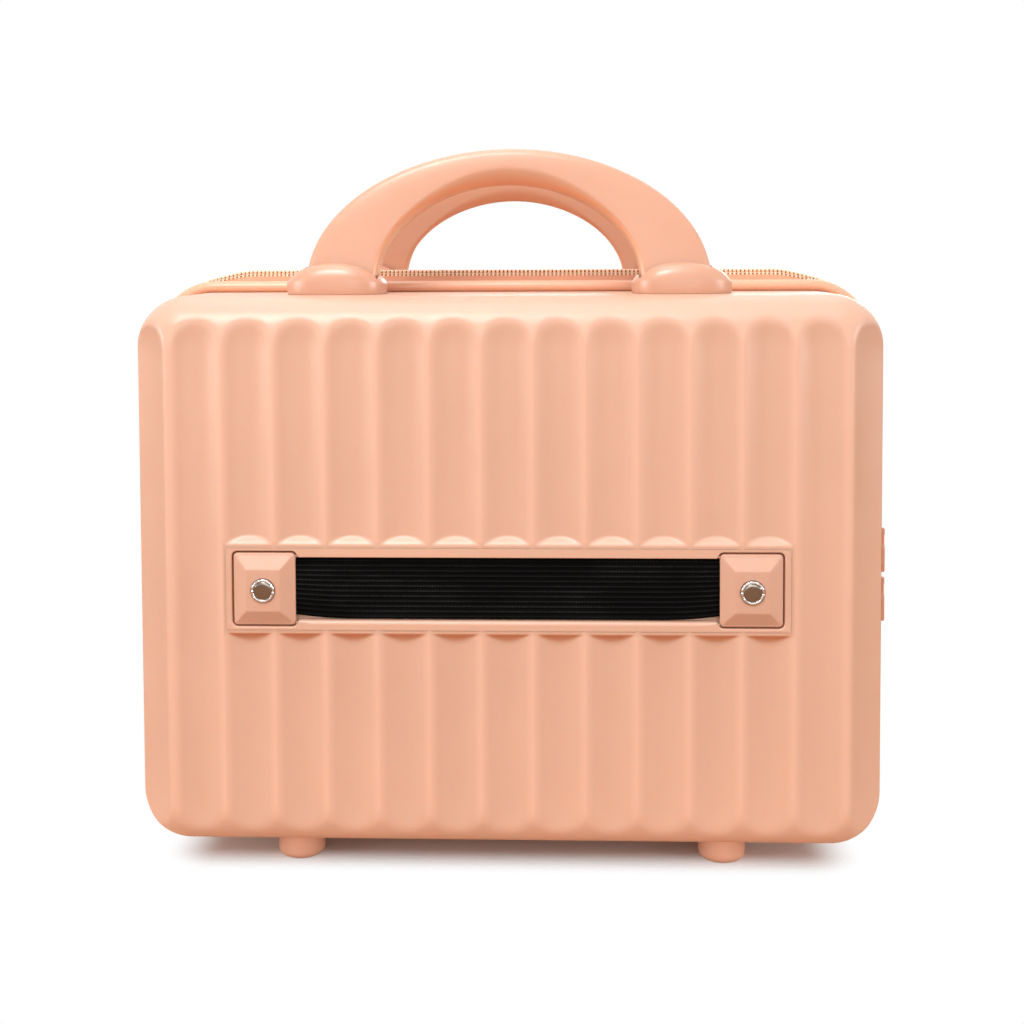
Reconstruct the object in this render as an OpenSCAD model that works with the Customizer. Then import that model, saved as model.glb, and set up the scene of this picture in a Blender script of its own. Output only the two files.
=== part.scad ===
// Small hard-shell makeup case: two fluted half shells, a zip round three sides,
// a pair of arched handles, four feet and an elastic strap across the back.
// Origin is the centre of the footprint on the floor, +X to the right and +Y away
// from someone who faces the strap side, +Z up.

/* [Case] */
// Width over the two side walls
case_w = 300; // [240:1:380]
// Height of the shells without the feet
case_h = 222; // [170:1:280]
// Depth over both faces
case_d = 144; // [120:1:190]
// Radius of the corners and of the edge round each face
edge_r = 21; // [18:0.5:28]
// Thickness of the moulded sheet
wall = 2.2; // [1.6:0.1:3]
// Distance from the middle plane to the edge of each shell
rim_y = 10; // [9:0.5:14]

/* [Flutes] */
// Number of flutes across each face
flute_count = 13; // [9:2:19]
// Depth of a flute below its crests
flute_depth = 3; // [1.5:0.1:4]
// Width of the crest between two flutes
crest_w = 2.4; // [1.5:0.1:5]
// How far the outer crests stay inside the side walls
crest_inset = 16.7; // [14:0.1:18]

/* [Strap] */
// Drop of the strap below the middle of the shell
strap_drop = 4.8; // [0:0.1:30]
// Width of the elastic strap
strap_w = 24.3; // [16:0.1:32]
// Thickness of the elastic strap
strap_t = 1.8; // [1:0.1:2.4]
// Distance of each end block from the side wall
block_in = 54; // [45:0.5:80]
// Width of an end block
block_w = 24.6; // [20:0.1:30]
// Height of an end block
block_h = 28.8; // [26:0.1:36]
// Rise of an end block above the land
block_rise = 3.2; // [2:0.1:5]
// Height of the flat land that holds the strap
land_h = 35.5; // [32:0.5:44]
// Depth of the pocket and of the strap channel
pocket_depth = 3.4; // [2.8:0.1:4]

/* [Handles] */
// Distance of the handle caps from the face of their shell
cap_in = 20; // [19:0.5:22]
// Half width of the handle outside
handle_a = 83; // [70:0.5:95]
// Half width of the handle inside
handle_in_a = 55; // [50:0.5:60]
// Rise of the handle above its pivots
handle_b = 50.6; // [45:0.1:70]
// Rise of the finger gap above the pivots
handle_in_b = 37; // [32:0.5:44]
// Half width of the gap in the front handle, which is the smaller one
front_in_a = 48.5; // [44:0.5:50]
// Rise of the finger gap in the front handle
front_in_b = 32.5; // [30:0.5:44]
// Thickness of the handle
handle_t = 15; // [12:0.5:16]
// Inward lean of a handle at rest, and its outward lean at the end of its swing
handle_lean = 9; // [4:1:12]
// Length of a handle cap
cap_w = 41; // [38:0.5:48]
// Depth of a handle cap
cap_d = 30; // [29:0.5:34]
// Height of a handle cap
cap_h = 13; // [12:0.5:16]

/* [Feet] */
// Height of the feet
foot_h = 13.2; // [8:0.1:20]
// Diameter of a foot
foot_dia = 19.5; // [14:0.5:24]
// Distance of a foot from the side wall
foot_side = 62; // [40:0.5:90]
// Distance of a foot from the face of its shell
foot_in = 32; // [31:0.5:36]

/* [Fittings] */
// Radius of the piping bead
bead_r = 2.9; // [2:0.1:3.2]
// Height of the zip teeth above the side walls
teeth_top = 9.4; // [8.6:0.1:12]
// Half the gap between the two rows of teeth
teeth_gap = 0.6; // [0.5:0.05:1]
// Length of a zip slider
slider_len = 13; // [10:0.5:16]
// Height of the meeting point of the two sliders
slider_z = 118; // [90:1:140]
// Length of a pull tab
pull_len = 17.5; // [12:0.5:18]

/* [Hidden] */
$fn = 64;
// Gap between pieces that move past each other
slip = 0.35;
// Gap between pieces that are fixed to each other
seat = 0.05;
// Running clearance of a pin in its bore, on the radius
run = 0.06;
half_d = case_d / 2;
block_x = case_w / 2 - block_in;
handle_y = half_d - cap_in - cap_d / 2;
foot_x = case_w / 2 - foot_side;
foot_y = half_d - foot_in;
// How far a cutter runs past what it cuts
over = wall + 3;
mid_z = foot_h + case_h / 2;
top_z = foot_h + case_h;
flute_pitch = 2 * (case_w / 2 - crest_inset) / flute_count;
flute_half = (flute_pitch - crest_w) / 2;
flute_r = (flute_half * flute_half + flute_depth * flute_depth) / (2 * flute_depth);
last_flute = (flute_count - 1) / 2;
// The corner flute lies between the outer crest and its mirror on the side wall
crest_angle = asin((edge_r - crest_inset) / edge_r);
corner_half = edge_r * sin(45 - crest_angle);
corner_sink = 1;
corner_flute_r = (corner_half * corner_half + corner_sink * corner_sink) / (2 * corner_sink);
corner_reach = edge_r * cos(45 - crest_angle) - corner_sink + corner_flute_r;
corner_off = corner_reach * sin(45);
land_last = floor((block_x + block_w / 2 + 3) / flute_pitch);
land_half = (land_last + 0.5) * flute_pitch;
floor_d = half_d - pocket_depth;
channel_h = strap_w + 1;
strap_back = floor_d + 0.3;
strap_front = strap_back + strap_t;
block_top_w = 13.6;
block_top_h = 16.7;
bolt_r = 2;
bolt_head_r = 4.65;
bolt_head_t = 1.8;
bolt_proud = 0.8;
nut_r = 4.5;
nut_t = 2.4;
handle_z = top_z + handle_t / 2 + 0.9;
cap_x = (handle_a + handle_in_a) / 2 + 2.2;
cap_slot_d = handle_t / cos(handle_lean) + 2 * (cap_h - 5) * sin(handle_lean) + 1.2;
pin_r = 2;
cap_edge_r = 8;
cap_screw_y = (cap_slot_d + cap_d) / 4;
screw_r = 1.4;
screw_head_r = 2.8;
screw_head_t = 1.6;
plate_t = 1.5;
plate_side = 3.5;
plate_w = cap_w - 2 * plate_side;
cap_bore = 7.2;
foot_screw_r = 1.6;
foot_bore = 8;
lining_off = wall + 4.8;
lining_gap = 9.5;
lining_face = half_d - lining_gap;
lining_t = 1;
// Piping: how far its bead stands out, its web and the flange sewn inside the shell
bead_out = 1.9;
bead_sink = 0.9;
web_h = 3.5;
flange_t = 1.1;
tape_t = 0.8;
// Tapes and flange end short of the cap plates, and the lining's ledge lies behind them
cap_gap = 4;
tape_end = handle_y - cap_d / 2 - cap_gap;
flange_l = tape_end - 0.6 - (rim_y - web_h - 0.1);
ledge_d = tape_end + 0.6;
// Height above the bottom where the zip ends and the hinge tape begins
zip_end = 8;
zip_low = edge_r + zip_end;
// The hinge axis, measured outward from the bottom of the shells
hinge_out = 1;
slider_w = 4;
slider_x = case_w / 2 + teeth_top + slip;
slider_plate = 1.4;
bail_h = 2.2;
bail_w = 2.4;
bail_l = 3.2;
// Distance of the pull's axis from the outer end of its slider
bail_end = 2.5;
pull_x = slider_x + slider_plate + 0.95;
pull_bar_r = 0.6;
pull_t = 1.2;
pull_w = 4;

// Half shells are drawn lying on their opening: x across, y up the case, z outward
module half_frame() {
    translate([0, 0, mid_z]) rotate([90, 0, 0]) children();
}

module to_front() {
    mirror([0, 1, 0]) children();
}

module to_left() {
    mirror([1, 0, 0]) children();
}

module round_rect(w, h, r) {
    square([w - 2 * r, h], center = true);
    square([w, h - 2 * r], center = true);
    for (sx = [-1, 1]) {
        for (sy = [-1, 1]) {
            translate([sx * (w / 2 - r), sy * (h / 2 - r)]) circle(r);
        }
    }
}

// Section of a rounded slab from its inner core out to its wall
module slab_section(r, z0, z1) {
    translate([0, z0]) square([r, z1 - r - z0]);
    intersection() {
        translate([0, z1 - r]) circle(r);
        translate([0, z1 - r]) square(r);
    }
}

// Rounded slab from z0 to z1, with the same radius at its corners and at the edge at z1
module pillow(w, h, r, z0, z1) {
    cw = w - 2 * r;
    ch = h - 2 * r;
    translate([-cw / 2, -ch / 2, z0]) cube([cw, ch, z1 - z0]);
    for (a = [0, 180]) {
        rotate([0, 0, a]) {
            translate([cw / 2, ch / 2, 0]) rotate([90, 0, 0])
                linear_extrude(ch) slab_section(r, z0, z1);
            translate([-cw / 2, ch / 2, 0]) rotate([90, 0, 90])
                linear_extrude(cw) slab_section(r, z0, z1);
            translate([cw / 2, ch / 2, 0])
                rotate_extrude(angle = 90) slab_section(r, z0, z1);
            translate([-cw / 2, ch / 2, 0]) rotate([0, 0, 90])
                rotate_extrude(angle = 90) slab_section(r, z0, z1);
        }
    }
}

// Carries a cross section along straight runs and corners of the shell outline.
// In the section x is the distance outward from the side wall and y is depth.
module top_run() {
    translate([-(case_w / 2 - edge_r), case_h / 2, 0]) rotate([90, 0, 90])
        linear_extrude(case_w - 2 * edge_r) children();
}

module side_run(low) {
    translate([case_w / 2, case_h / 2 - edge_r, 0]) rotate([90, 0, 0])
        linear_extrude(case_h - edge_r - low) children();
}

module corner_run() {
    translate([case_w / 2 - edge_r, case_h / 2 - edge_r, 0])
        rotate_extrude(angle = 90) translate([edge_r, 0]) children();
}

module both_sides() {
    children();
    mirror([1, 0, 0]) children();
}

module all_round() {
    both_sides() {
        side_run(edge_r) children();
        corner_run() children();
        mirror([0, 1, 0]) corner_run() children();
    }
    top_run() children();
    mirror([0, 1, 0]) top_run() children();
}

module over_the_top() {
    both_sides() {
        side_run(zip_low) children();
        corner_run() children();
    }
    top_run() children();
}

// A flute cutter, deeper and wider by the sheet thickness when used inside
module flute(i, grow) {
    translate([i * flute_pitch, 0, half_d - flute_depth + flute_r]) rotate([90, 0, 0])
        cylinder(r = flute_r + grow, h = case_h + 2 * over, center = true, $fn = 128);
}

module corner_flutes(grow) {
    for (s = [-1, 1]) {
        translate([s * (case_w / 2 - edge_r + corner_off), 0, half_d - edge_r + corner_off])
            rotate([90, 0, 0])
            cylinder(r = corner_flute_r + grow, h = case_h + 2 * over, center = true, $fn = 128);
    }
}

// The land across the back, with sloping upper and lower sides
module land() {
    rise = flute_depth + 1;
    translate([-land_half, -strap_drop, half_d - rise]) rotate([90, 0, 90])
        linear_extrude(2 * land_half)
        polygon([
            [-land_h / 2 - rise, 0], [land_h / 2 + rise, 0],
            [land_h / 2 - 1, rise + 1], [-land_h / 2 + 1, rise + 1]
        ]);
}

module flutes(with_land, grow) {
    if (with_land) {
        difference() {
            for (i = [-land_last:land_last]) flute(i, grow);
            land();
        }
        for (i = [land_last + 1:last_flute]) {
            flute(i, grow);
            flute(-i, grow);
        }
    } else {
        for (i = [-last_flute:last_flute]) flute(i, grow);
    }
    corner_flutes(grow);
}

module shell_cavity(with_land) {
    difference() {
        pillow(case_w - 2 * wall, case_h - 2 * wall, edge_r - wall, rim_y - 1, half_d - wall);
        for (i = [-last_flute:last_flute]) flute(i, wall);
        corner_flutes(wall);
        if (with_land) {
            translate([-land_half, -strap_drop - land_h / 2, floor_d - wall])
                cube([2 * land_half, land_h, edge_r]);
        }
    }
}

// Holes for the cap screws, the foot screws and, on the back, the strap bolts
module shell_holes(with_land) {
    both_sides() {
        for (s = [-1, 1]) {
            translate([cap_x, case_h / 2, handle_y + s * cap_screw_y]) rotate([90, 0, 0])
                cylinder(r = screw_r + 0.3, h = 4 * wall, center = true);
        }
        translate([foot_x, -case_h / 2, foot_y]) rotate([90, 0, 0])
            cylinder(r = foot_screw_r + 0.3, h = 4 * wall, center = true);
        if (with_land) {
            translate([block_x, -strap_drop, floor_d - 2 * wall])
                cylinder(r = bolt_r + 0.3, h = 4 * wall);
        }
    }
}

module strap_pockets() {
    both_sides() {
        translate([block_x, -strap_drop, floor_d]) linear_extrude(pocket_depth + 1)
            round_rect(block_w + 1.4, block_h + 1.4, 2.2);
    }
    translate([-block_x, -strap_drop - channel_h / 2, floor_d])
        cube([2 * block_x, channel_h, pocket_depth + 1]);
}

module shell(with_land) {
    half_frame() difference() {
        pillow(case_w, case_h, edge_r, rim_y, half_d);
        flutes(with_land, 0);
        shell_cavity(with_land);
        shell_holes(with_land);
        if (with_land) strap_pockets();
    }
}

// Fabric-covered tray inside a shell, held by a ledge behind the zip tape
module lining() {
    off = 2 * lining_off;
    half_frame() difference() {
        union() {
            pillow(case_w - off, case_h - off, edge_r - lining_off, rim_y - 4, lining_face);
            translate([0, 0, ledge_d]) linear_extrude(1)
                round_rect(case_w - 2 * wall - 0.1, case_h - 2 * wall - 0.1, edge_r - wall);
        }
        pillow(case_w - off - 2 * lining_t, case_h - off - 2 * lining_t,
            edge_r - lining_off - lining_t, rim_y - 5, lining_face - lining_t);
    }
}

// Piping: a bead over the edge of the shell, a web and a sewing flange inside
module piping_section() {
    difference() {
        union() {
            translate([bead_out, rim_y - bead_sink]) circle(bead_r);
            translate([-wall - flange_t - 0.1, rim_y - web_h - 0.1])
                square([wall + flange_t + bead_out, web_h]);
            translate([-wall - flange_t - 0.1, rim_y - web_h - 0.1])
                square([flange_t, flange_l]);
        }
        translate([-wall - slip / 4, rim_y - 2 * seat])
            square([wall + slip / 4 + seat, flange_l + web_h]);
    }
}

module piping() {
    half_frame() all_round() piping_section();
}

// Zip tape: from its seam inside the shell, past the piping and up to the teeth
module tape_section() {
    inner = -wall - 1.3;
    polygon([
        [inner, tape_end], [inner - tape_t, tape_end], [inner - tape_t, rim_y - 5.1],
        [bead_r + 0.7, rim_y - 5.1], [teeth_top - 3.5, teeth_gap + 2],
        [teeth_top - 3, teeth_gap + 2.8], [bead_r + 1.2, rim_y - 4.3], [inner, rim_y - 4.3]
    ]);
}

module zip_tape() {
    half_frame() over_the_top() tape_section();
}

module zip_teeth() {
    half_frame() over_the_top()
        translate([teeth_top - 2.9, teeth_gap]) square([2.9, 2.2]);
}

// Flexible strip that joins the two shells along the bottom and round its corners
module hinge_section() {
    inner = -wall - 1.3;
    polygon([
        [inner, tape_end], [inner - tape_t, tape_end], [inner - tape_t, rim_y - 5],
        [hinge_out - tape_t / 2, 1], [hinge_out + tape_t / 2, 1],
        [inner, rim_y - 4.2]
    ]);
}

module hinge_tape() {
    half_frame() mirror([0, 1, 0]) {
        top_run() hinge_section();
        both_sides() {
            corner_run() hinge_section();
            translate([case_w / 2, case_h / 2 - edge_r, 0]) rotate([90, 0, 0])
                linear_extrude(zip_low - edge_r - 0.5) hinge_section();
        }
    }
}

// Right end block of the strap: a base in its pocket and a bevelled top
module strap_block() {
    half_frame() translate([block_x, -strap_drop, 0]) difference() {
        union() {
            translate([0, 0, floor_d + seat]) linear_extrude(pocket_depth - seat)
                round_rect(block_w, block_h, 1.6);
            intersection() {
                rotate([90, 0, 0]) linear_extrude(block_h, center = true)
                    polygon([
                        [-block_w / 2, half_d - 1], [block_w / 2, half_d - 1],
                        [block_w / 2, half_d], [block_top_w / 2, half_d + block_rise],
                        [-block_top_w / 2, half_d + block_rise], [-block_w / 2, half_d]
                    ]);
                rotate([90, 0, 90]) linear_extrude(block_w, center = true)
                    polygon([
                        [-block_h / 2, half_d - 1], [block_h / 2, half_d - 1],
                        [block_h / 2, half_d], [block_top_h / 2, half_d + block_rise],
                        [-block_top_h / 2, half_d + block_rise], [-block_h / 2, half_d]
                    ]);
                linear_extrude(2 * half_d) round_rect(block_w, block_h, 1.6);
            }
        }
        translate([-block_w / 2 - 1, -strap_w / 2 - 0.2, floor_d - 1])
            cube([block_w - 2, strap_w + 0.4, strap_front - floor_d + 1.1]);
        cylinder(r = bolt_r + 0.15, h = 2 * half_d);
        translate([0, 0, half_d + block_rise - bolt_head_t + bolt_proud])
            cylinder(r = bolt_head_r + 0.2, h = 4);
    }
}

module strap() {
    reach = block_x + block_w / 2 - 4;
    half_frame() difference() {
        translate([-reach, -strap_drop - strap_w / 2, strap_back])
            cube([2 * reach, strap_w, strap_t]);
        both_sides() translate([block_x, -strap_drop, strap_back - 1])
            cylinder(r = bolt_r + 0.15, h = strap_t + 2);
    }
}

module strap_bolt_set() {
    top = half_d + block_rise + bolt_proud;
    half_frame() both_sides() translate([block_x, -strap_drop, 0]) difference() {
        union() {
            translate([0, 0, floor_d - wall - nut_t - 0.6])
                cylinder(r = bolt_r, h = top - 1 - floor_d + wall + nut_t + 0.6);
            translate([0, 0, top - bolt_head_t]) cylinder(r = bolt_head_r, h = bolt_head_t);
        }
        translate([0, 0, top - 0.5]) cylinder(r = bolt_head_r - 1, h = 1);
    }
}

module strap_nut_set() {
    half_frame() both_sides()
        translate([block_x, -strap_drop, floor_d - wall - nut_t - seat]) difference() {
            cylinder(r = nut_r, h = nut_t, $fn = 6);
            translate([0, 0, -1]) cylinder(r = bolt_r + seat, h = nut_t + 2);
        }
}

// Right handle cap: a domed boss with a slot for the handle and a cross bore for its pin
module cap() {
    slot_in = handle_in_a - 1.4;
    slot_out = handle_a + slip + 0.15;
    translate([cap_x, -handle_y, top_z]) difference() {
        pillow(cap_w, cap_d, cap_edge_r, seat, cap_h);
        translate([slot_in - cap_x, -cap_slot_d / 2, -1])
            cube([slot_out - slot_in, cap_slot_d, cap_h + 2]);
        translate([0, 0, handle_z - top_z]) rotate([0, 90, 0])
            cylinder(r = pin_r + 0.02, h = cap_w - 4, center = true);
        for (t = [-1, 1]) {
            translate([0, t * cap_screw_y, -1]) cylinder(r = screw_r + 0.02, h = cap_bore + 1);
        }
    }
}

module cap_plate_set() {
    both_sides() translate([cap_x, -handle_y, top_z - wall - plate_t - seat]) difference() {
        translate([-plate_w / 2, -cap_d / 2, 0]) cube([plate_w, cap_d, plate_t]);
        for (t = [-1, 1]) {
            translate([0, t * cap_screw_y, -1]) cylinder(r = screw_r + 0.3, h = plate_t + 2);
        }
    }
}

module cap_screw_set() {
    both_sides() for (t = [-1, 1]) {
        translate([cap_x, -handle_y + t * cap_screw_y, top_z - wall - plate_t - 2 * seat]) {
            cylinder(r = screw_r, h = wall + plate_t + cap_bore - 0.2);
            translate([0, 0, -screw_head_t]) cylinder(r = screw_head_r, h = screw_head_t);
        }
    }
}

module pin_set() {
    both_sides() translate([cap_x, -handle_y, handle_z]) rotate([0, 90, 0])
        cylinder(r = pin_r, h = cap_w - 4.4, center = true);
}

module half_oval(a, b) {
    polygon([for (i = [0:2:180]) [a * cos(i), b * sin(i)]]);
}

// Arched handle with a rolled foot round each pin, drawn upright and then leant inward.
// Where its gap is narrower than its feet are apart, the legs step out over the caps.
module handle(gap_a, gap_b) {
    leg_w = handle_a - handle_in_a;
    step_z = top_z + cap_h + 1.5 - handle_z;
    translate([0, -handle_y, handle_z]) rotate([-handle_lean, 0, 0]) difference() {
        union() {
            rotate([90, 0, 0]) linear_extrude(handle_t, center = true) difference() {
                half_oval(handle_a, handle_b);
                half_oval(gap_a, gap_b);
                if (gap_a < handle_in_a) {
                    translate([-handle_in_a, -1]) square([2 * handle_in_a, step_z + 1]);
                }
            }
            both_sides() translate([handle_in_a, 0, 0]) rotate([0, 90, 0])
                cylinder(r = handle_t / 2, h = leg_w);
        }
        rotate([0, 90, 0]) cylinder(r = pin_r + run, h = 2 * handle_a + 2, center = true);
    }
}

module foot() {
    round_r = 2.5;
    translate([foot_x, -foot_y, 0]) difference() {
        rotate_extrude() {
            square([foot_dia / 2 - round_r, foot_h - seat]);
            translate([0, round_r]) square([foot_dia / 2, foot_h - seat - round_r]);
            translate([foot_dia / 2 - round_r, round_r]) circle(round_r);
        }
        translate([0, 0, foot_h - foot_bore]) cylinder(r = foot_screw_r + 0.02, h = foot_bore + 1);
    }
}

module foot_screw_set() {
    both_sides() translate([foot_x, -foot_y, 0]) {
        translate([0, 0, foot_h - foot_bore + 0.5])
            cylinder(r = foot_screw_r, h = foot_bore + wall);
        translate([0, 0, foot_h + wall + seat]) cylinder(r = 2 * foot_screw_r + 0.2, h = 2);
    }
}

// Slider: outer plate with one lip, inner plate and a thin neck between the teeth.
// It is drawn with its lower end at z = 0 and its pull axis at axis_z.
module slider(axis_z) {
    inner_x = case_w / 2 + teeth_top - 2.9 - slip - 1.2;
    difference() {
        union() {
            translate([slider_x, -slider_w, 0]) cube([slider_plate, 2 * slider_w, slider_len]);
            translate([slider_x - 1.8, -slider_w, 0]) cube([2, 0.7, slider_len]);
            translate([inner_x, -2.3, 0]) cube([1.2, 4.6, slider_len]);
            translate([inner_x, -0.25, 0]) cube([slider_x - inner_x + 0.5, 0.5, slider_len]);
            translate([slider_x + slider_plate - 0.1, -bail_w / 2, axis_z - bail_l / 2])
                cube([bail_h + 0.1, bail_w, bail_l]);
        }
        translate([pull_x, 0, axis_z]) rotate([90, 0, 0])
            cylinder(r = pull_bar_r + run, h = 2 * bail_w, center = true);
    }
}

// Pull tab: a cross bar through the slider, two arms and a plate that hangs down
module pull(axis_z) {
    translate([pull_x, 0, axis_z]) {
        rotate([90, 0, 0]) cylinder(r = pull_bar_r, h = 6.4, center = true);
        for (s = [-1, 1]) {
            translate([-pull_t / 2, s * 2.4 - 0.8, -6]) cube([pull_t, 1.6, 6]);
        }
        difference() {
            translate([-pull_t / 2, -pull_w, -pull_len]) cube([pull_t, 2 * pull_w, pull_len - 4.5]);
            translate([0, 0, -pull_len + 4]) rotate([0, 90, 0])
                cylinder(r = 1.6, h = 6, center = true);
        }
    }
}

module zip_slider_high() {
    translate([0, 0, slider_z + slip]) slider(slider_len - bail_end);
}

module zip_slider_low() {
    translate([0, 0, slider_z - slip - slider_len]) slider(bail_end);
}

module back_shell() { color("#efb496") shell(true); }
module back_lining() { color("#d9c3b4") lining(); }
module back_piping() { color("#e9a582") piping(); }
module back_zip_tape() { color("#eaa985") zip_tape(); }
module back_zip_teeth() { color("#f0b48f") zip_teeth(); }
module back_hinge_tape() { color("#e2a07c") hinge_tape(); }
module strap_block_left() { color("#edb092") to_left() strap_block(); }
module strap_block_right() { color("#edb092") strap_block(); }
module luggage_strap() { color("#151515") strap(); }
module strap_bolts() { color("#c8c8cc") strap_bolt_set(); }
module strap_nuts() { color("#a8a8ac") strap_nut_set(); }
module back_cap_left() { color("#edb092") to_left() cap(); }
module back_cap_right() { color("#edb092") cap(); }
module back_cap_plates() { color("#a8a8ac") cap_plate_set(); }
module back_cap_screws() { color("#b8b8bc") cap_screw_set(); }
module back_handle_pins() { color("#b8b8bc") pin_set(); }
module back_foot_left() { color("#dc9670") to_left() foot(); }
module back_foot_right() { color("#dc9670") foot(); }
module back_foot_screws() { color("#b8b8bc") foot_screw_set(); }
module back_handle() { color("#efb496") handle(handle_in_a, handle_in_b); }
module front_shell() { color("#efb496") to_front() shell(false); }
module front_lining() { color("#d9c3b4") to_front() lining(); }
module front_piping() { color("#e9a582") to_front() piping(); }
module front_zip_tape() { color("#eaa985") to_front() zip_tape(); }
module front_zip_teeth() { color("#f0b48f") to_front() zip_teeth(); }
module front_hinge_tape() { color("#e2a07c") to_front() hinge_tape(); }
module front_cap_left() { color("#edb092") to_front() to_left() cap(); }
module front_cap_right() { color("#edb092") to_front() cap(); }
module front_cap_plates() { color("#a8a8ac") to_front() cap_plate_set(); }
module front_cap_screws() { color("#b8b8bc") to_front() cap_screw_set(); }
module front_handle_pins() { color("#b8b8bc") to_front() pin_set(); }
module front_foot_left() { color("#dc9670") to_front() to_left() foot(); }
module front_foot_right() { color("#dc9670") to_front() foot(); }
module front_foot_screws() { color("#b8b8bc") to_front() foot_screw_set(); }
module front_handle() { color("#efb496") to_front() handle(front_in_a, front_in_b); }
module zip_slider_upper() { color("#d8b48c") zip_slider_high(); }
module zip_slider_lower() { color("#d8b48c") zip_slider_low(); }
module zip_pull_upper() { color("#d8b48c") pull(slider_z + slip + slider_len - bail_end); }
module zip_pull_lower() { color("#d8b48c") pull(slider_z - slip - slider_len + bail_end); }

back_shell();
back_lining();
back_piping();
back_zip_tape();
back_zip_teeth();
back_hinge_tape();
strap_block_left();
strap_block_right();
luggage_strap();
strap_bolts();
strap_nuts();
back_cap_left();
back_cap_right();
back_cap_plates();
back_cap_screws();
back_handle_pins();
back_foot_left();
back_foot_right();
back_foot_screws();
back_handle();
front_shell();
front_lining();
front_piping();
front_zip_tape();
front_zip_teeth();
front_hinge_tape();
front_cap_left();
front_cap_right();
front_cap_plates();
front_cap_screws();
front_handle_pins();
front_foot_left();
front_foot_right();
front_foot_screws();
front_handle();
zip_slider_upper();
zip_slider_lower();
zip_pull_upper();
zip_pull_lower();
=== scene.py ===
import itertools
import math

import bmesh
import bpy
import numpy as np
from mathutils import Matrix, Vector, geometry


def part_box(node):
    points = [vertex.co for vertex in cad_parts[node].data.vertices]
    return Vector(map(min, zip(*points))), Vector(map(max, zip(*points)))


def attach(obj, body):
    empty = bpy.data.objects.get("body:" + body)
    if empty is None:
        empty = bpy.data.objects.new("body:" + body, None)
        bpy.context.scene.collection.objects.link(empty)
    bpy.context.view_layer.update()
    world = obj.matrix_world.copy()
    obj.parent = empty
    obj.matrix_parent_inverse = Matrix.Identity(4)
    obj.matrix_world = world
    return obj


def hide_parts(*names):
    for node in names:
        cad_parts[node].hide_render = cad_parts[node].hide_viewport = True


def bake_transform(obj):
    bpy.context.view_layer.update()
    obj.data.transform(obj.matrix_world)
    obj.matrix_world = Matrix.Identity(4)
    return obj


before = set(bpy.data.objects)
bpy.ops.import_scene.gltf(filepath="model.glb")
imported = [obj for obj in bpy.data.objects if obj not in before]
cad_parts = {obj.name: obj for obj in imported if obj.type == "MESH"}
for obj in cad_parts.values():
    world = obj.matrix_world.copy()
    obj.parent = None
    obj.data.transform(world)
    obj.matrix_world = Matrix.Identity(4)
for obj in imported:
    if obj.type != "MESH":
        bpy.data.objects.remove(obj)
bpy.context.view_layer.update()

# ---- sizes, in mm unless said
MM = 0.001
SIDES = {"back": -1, "front": 1}
HANDS = {"left": -1, "right": 1}


def box_mm(node):
    """A CAD node's box in mm: low corner, high corner, middle and size."""
    lo, hi = (np.array(list(corner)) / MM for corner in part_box(node))
    return lo, hi, (lo + hi) / 2, hi - lo


SHELL_LO, SHELL_HI, SHELL_MID, SHELL_SIZE = box_mm("back_shell")
CASE_W, _, CASE_H = SHELL_SIZE
TOP = SHELL_HI[2]
MID = SHELL_MID[2]
HALF_D = -SHELL_LO[1]
RIM = -SHELL_HI[1]
EDGE_R = 21.0
WALL = 2.2
CORE_W = CASE_W / 2 - EDGE_R  # the core is the face inside the rolled edge
CORE_H = CASE_H / 2 - EDGE_R
ROLL_POWER = 2.5

FLUTES = 13
FLUTE_EDGE = 16.7  # from the case's side to the first flute
FLUTE_PITCH = 2 * (CASE_W / 2 - FLUTE_EDGE) / FLUTES
FLUTE_SHIFT = 0.25
FLUTE_DEPTH = 3.0
CREST = 2.4
CREST_ROUND = 1.5
FLUTE_HALF = (FLUTE_PITCH - CREST) / 2
FLUTE_R = (FLUTE_HALF ** 2 + FLUTE_DEPTH ** 2) / (2 * FLUTE_DEPTH)
CORNER_SINK = 1.0  # the flute along each upright corner
CORNER_ANGLE = math.pi / 4 - math.asin((EDGE_R - FLUTE_EDGE) / EDGE_R)
CORNER_HALF = EDGE_R * math.sin(CORNER_ANGLE)
CORNER_R = (CORNER_HALF ** 2 + CORNER_SINK ** 2) / (2 * CORNER_SINK)
CORNER_OFF = (EDGE_R * math.cos(CORNER_ANGLE) - CORNER_SINK + CORNER_R) / math.sqrt(2) + 1.2
AWAY = 1000.0  # a depth that never counts

BLOCK_LO, _, BLOCK_MID, (BLOCK_W, _, BLOCK_H) = box_mm("strap_block_right")
BLOCK_X = BLOCK_MID[0]
BLOCK_TOP = -BLOCK_LO[1]
BLOCK_GAP = 0.7
STRAP_Y = BLOCK_MID[2] - MID
STRAP_LO, _, _, (_, _, STRAP_W) = box_mm("luggage_strap")
STRAP_FRONT = -STRAP_LO[1]
STRAP_CORDS = 12
FLOOR_D = STRAP_FRONT - 2.1  # depth of the channel's floor
CHANNEL_H = STRAP_W + 1
LAND_H = 35.5
LAND_HALF = 5.5 * FLUTE_PITCH
PATCH_X = LAND_HALF - 1.4
PATCH_Y = LAND_H / 2 - 1.4

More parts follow.
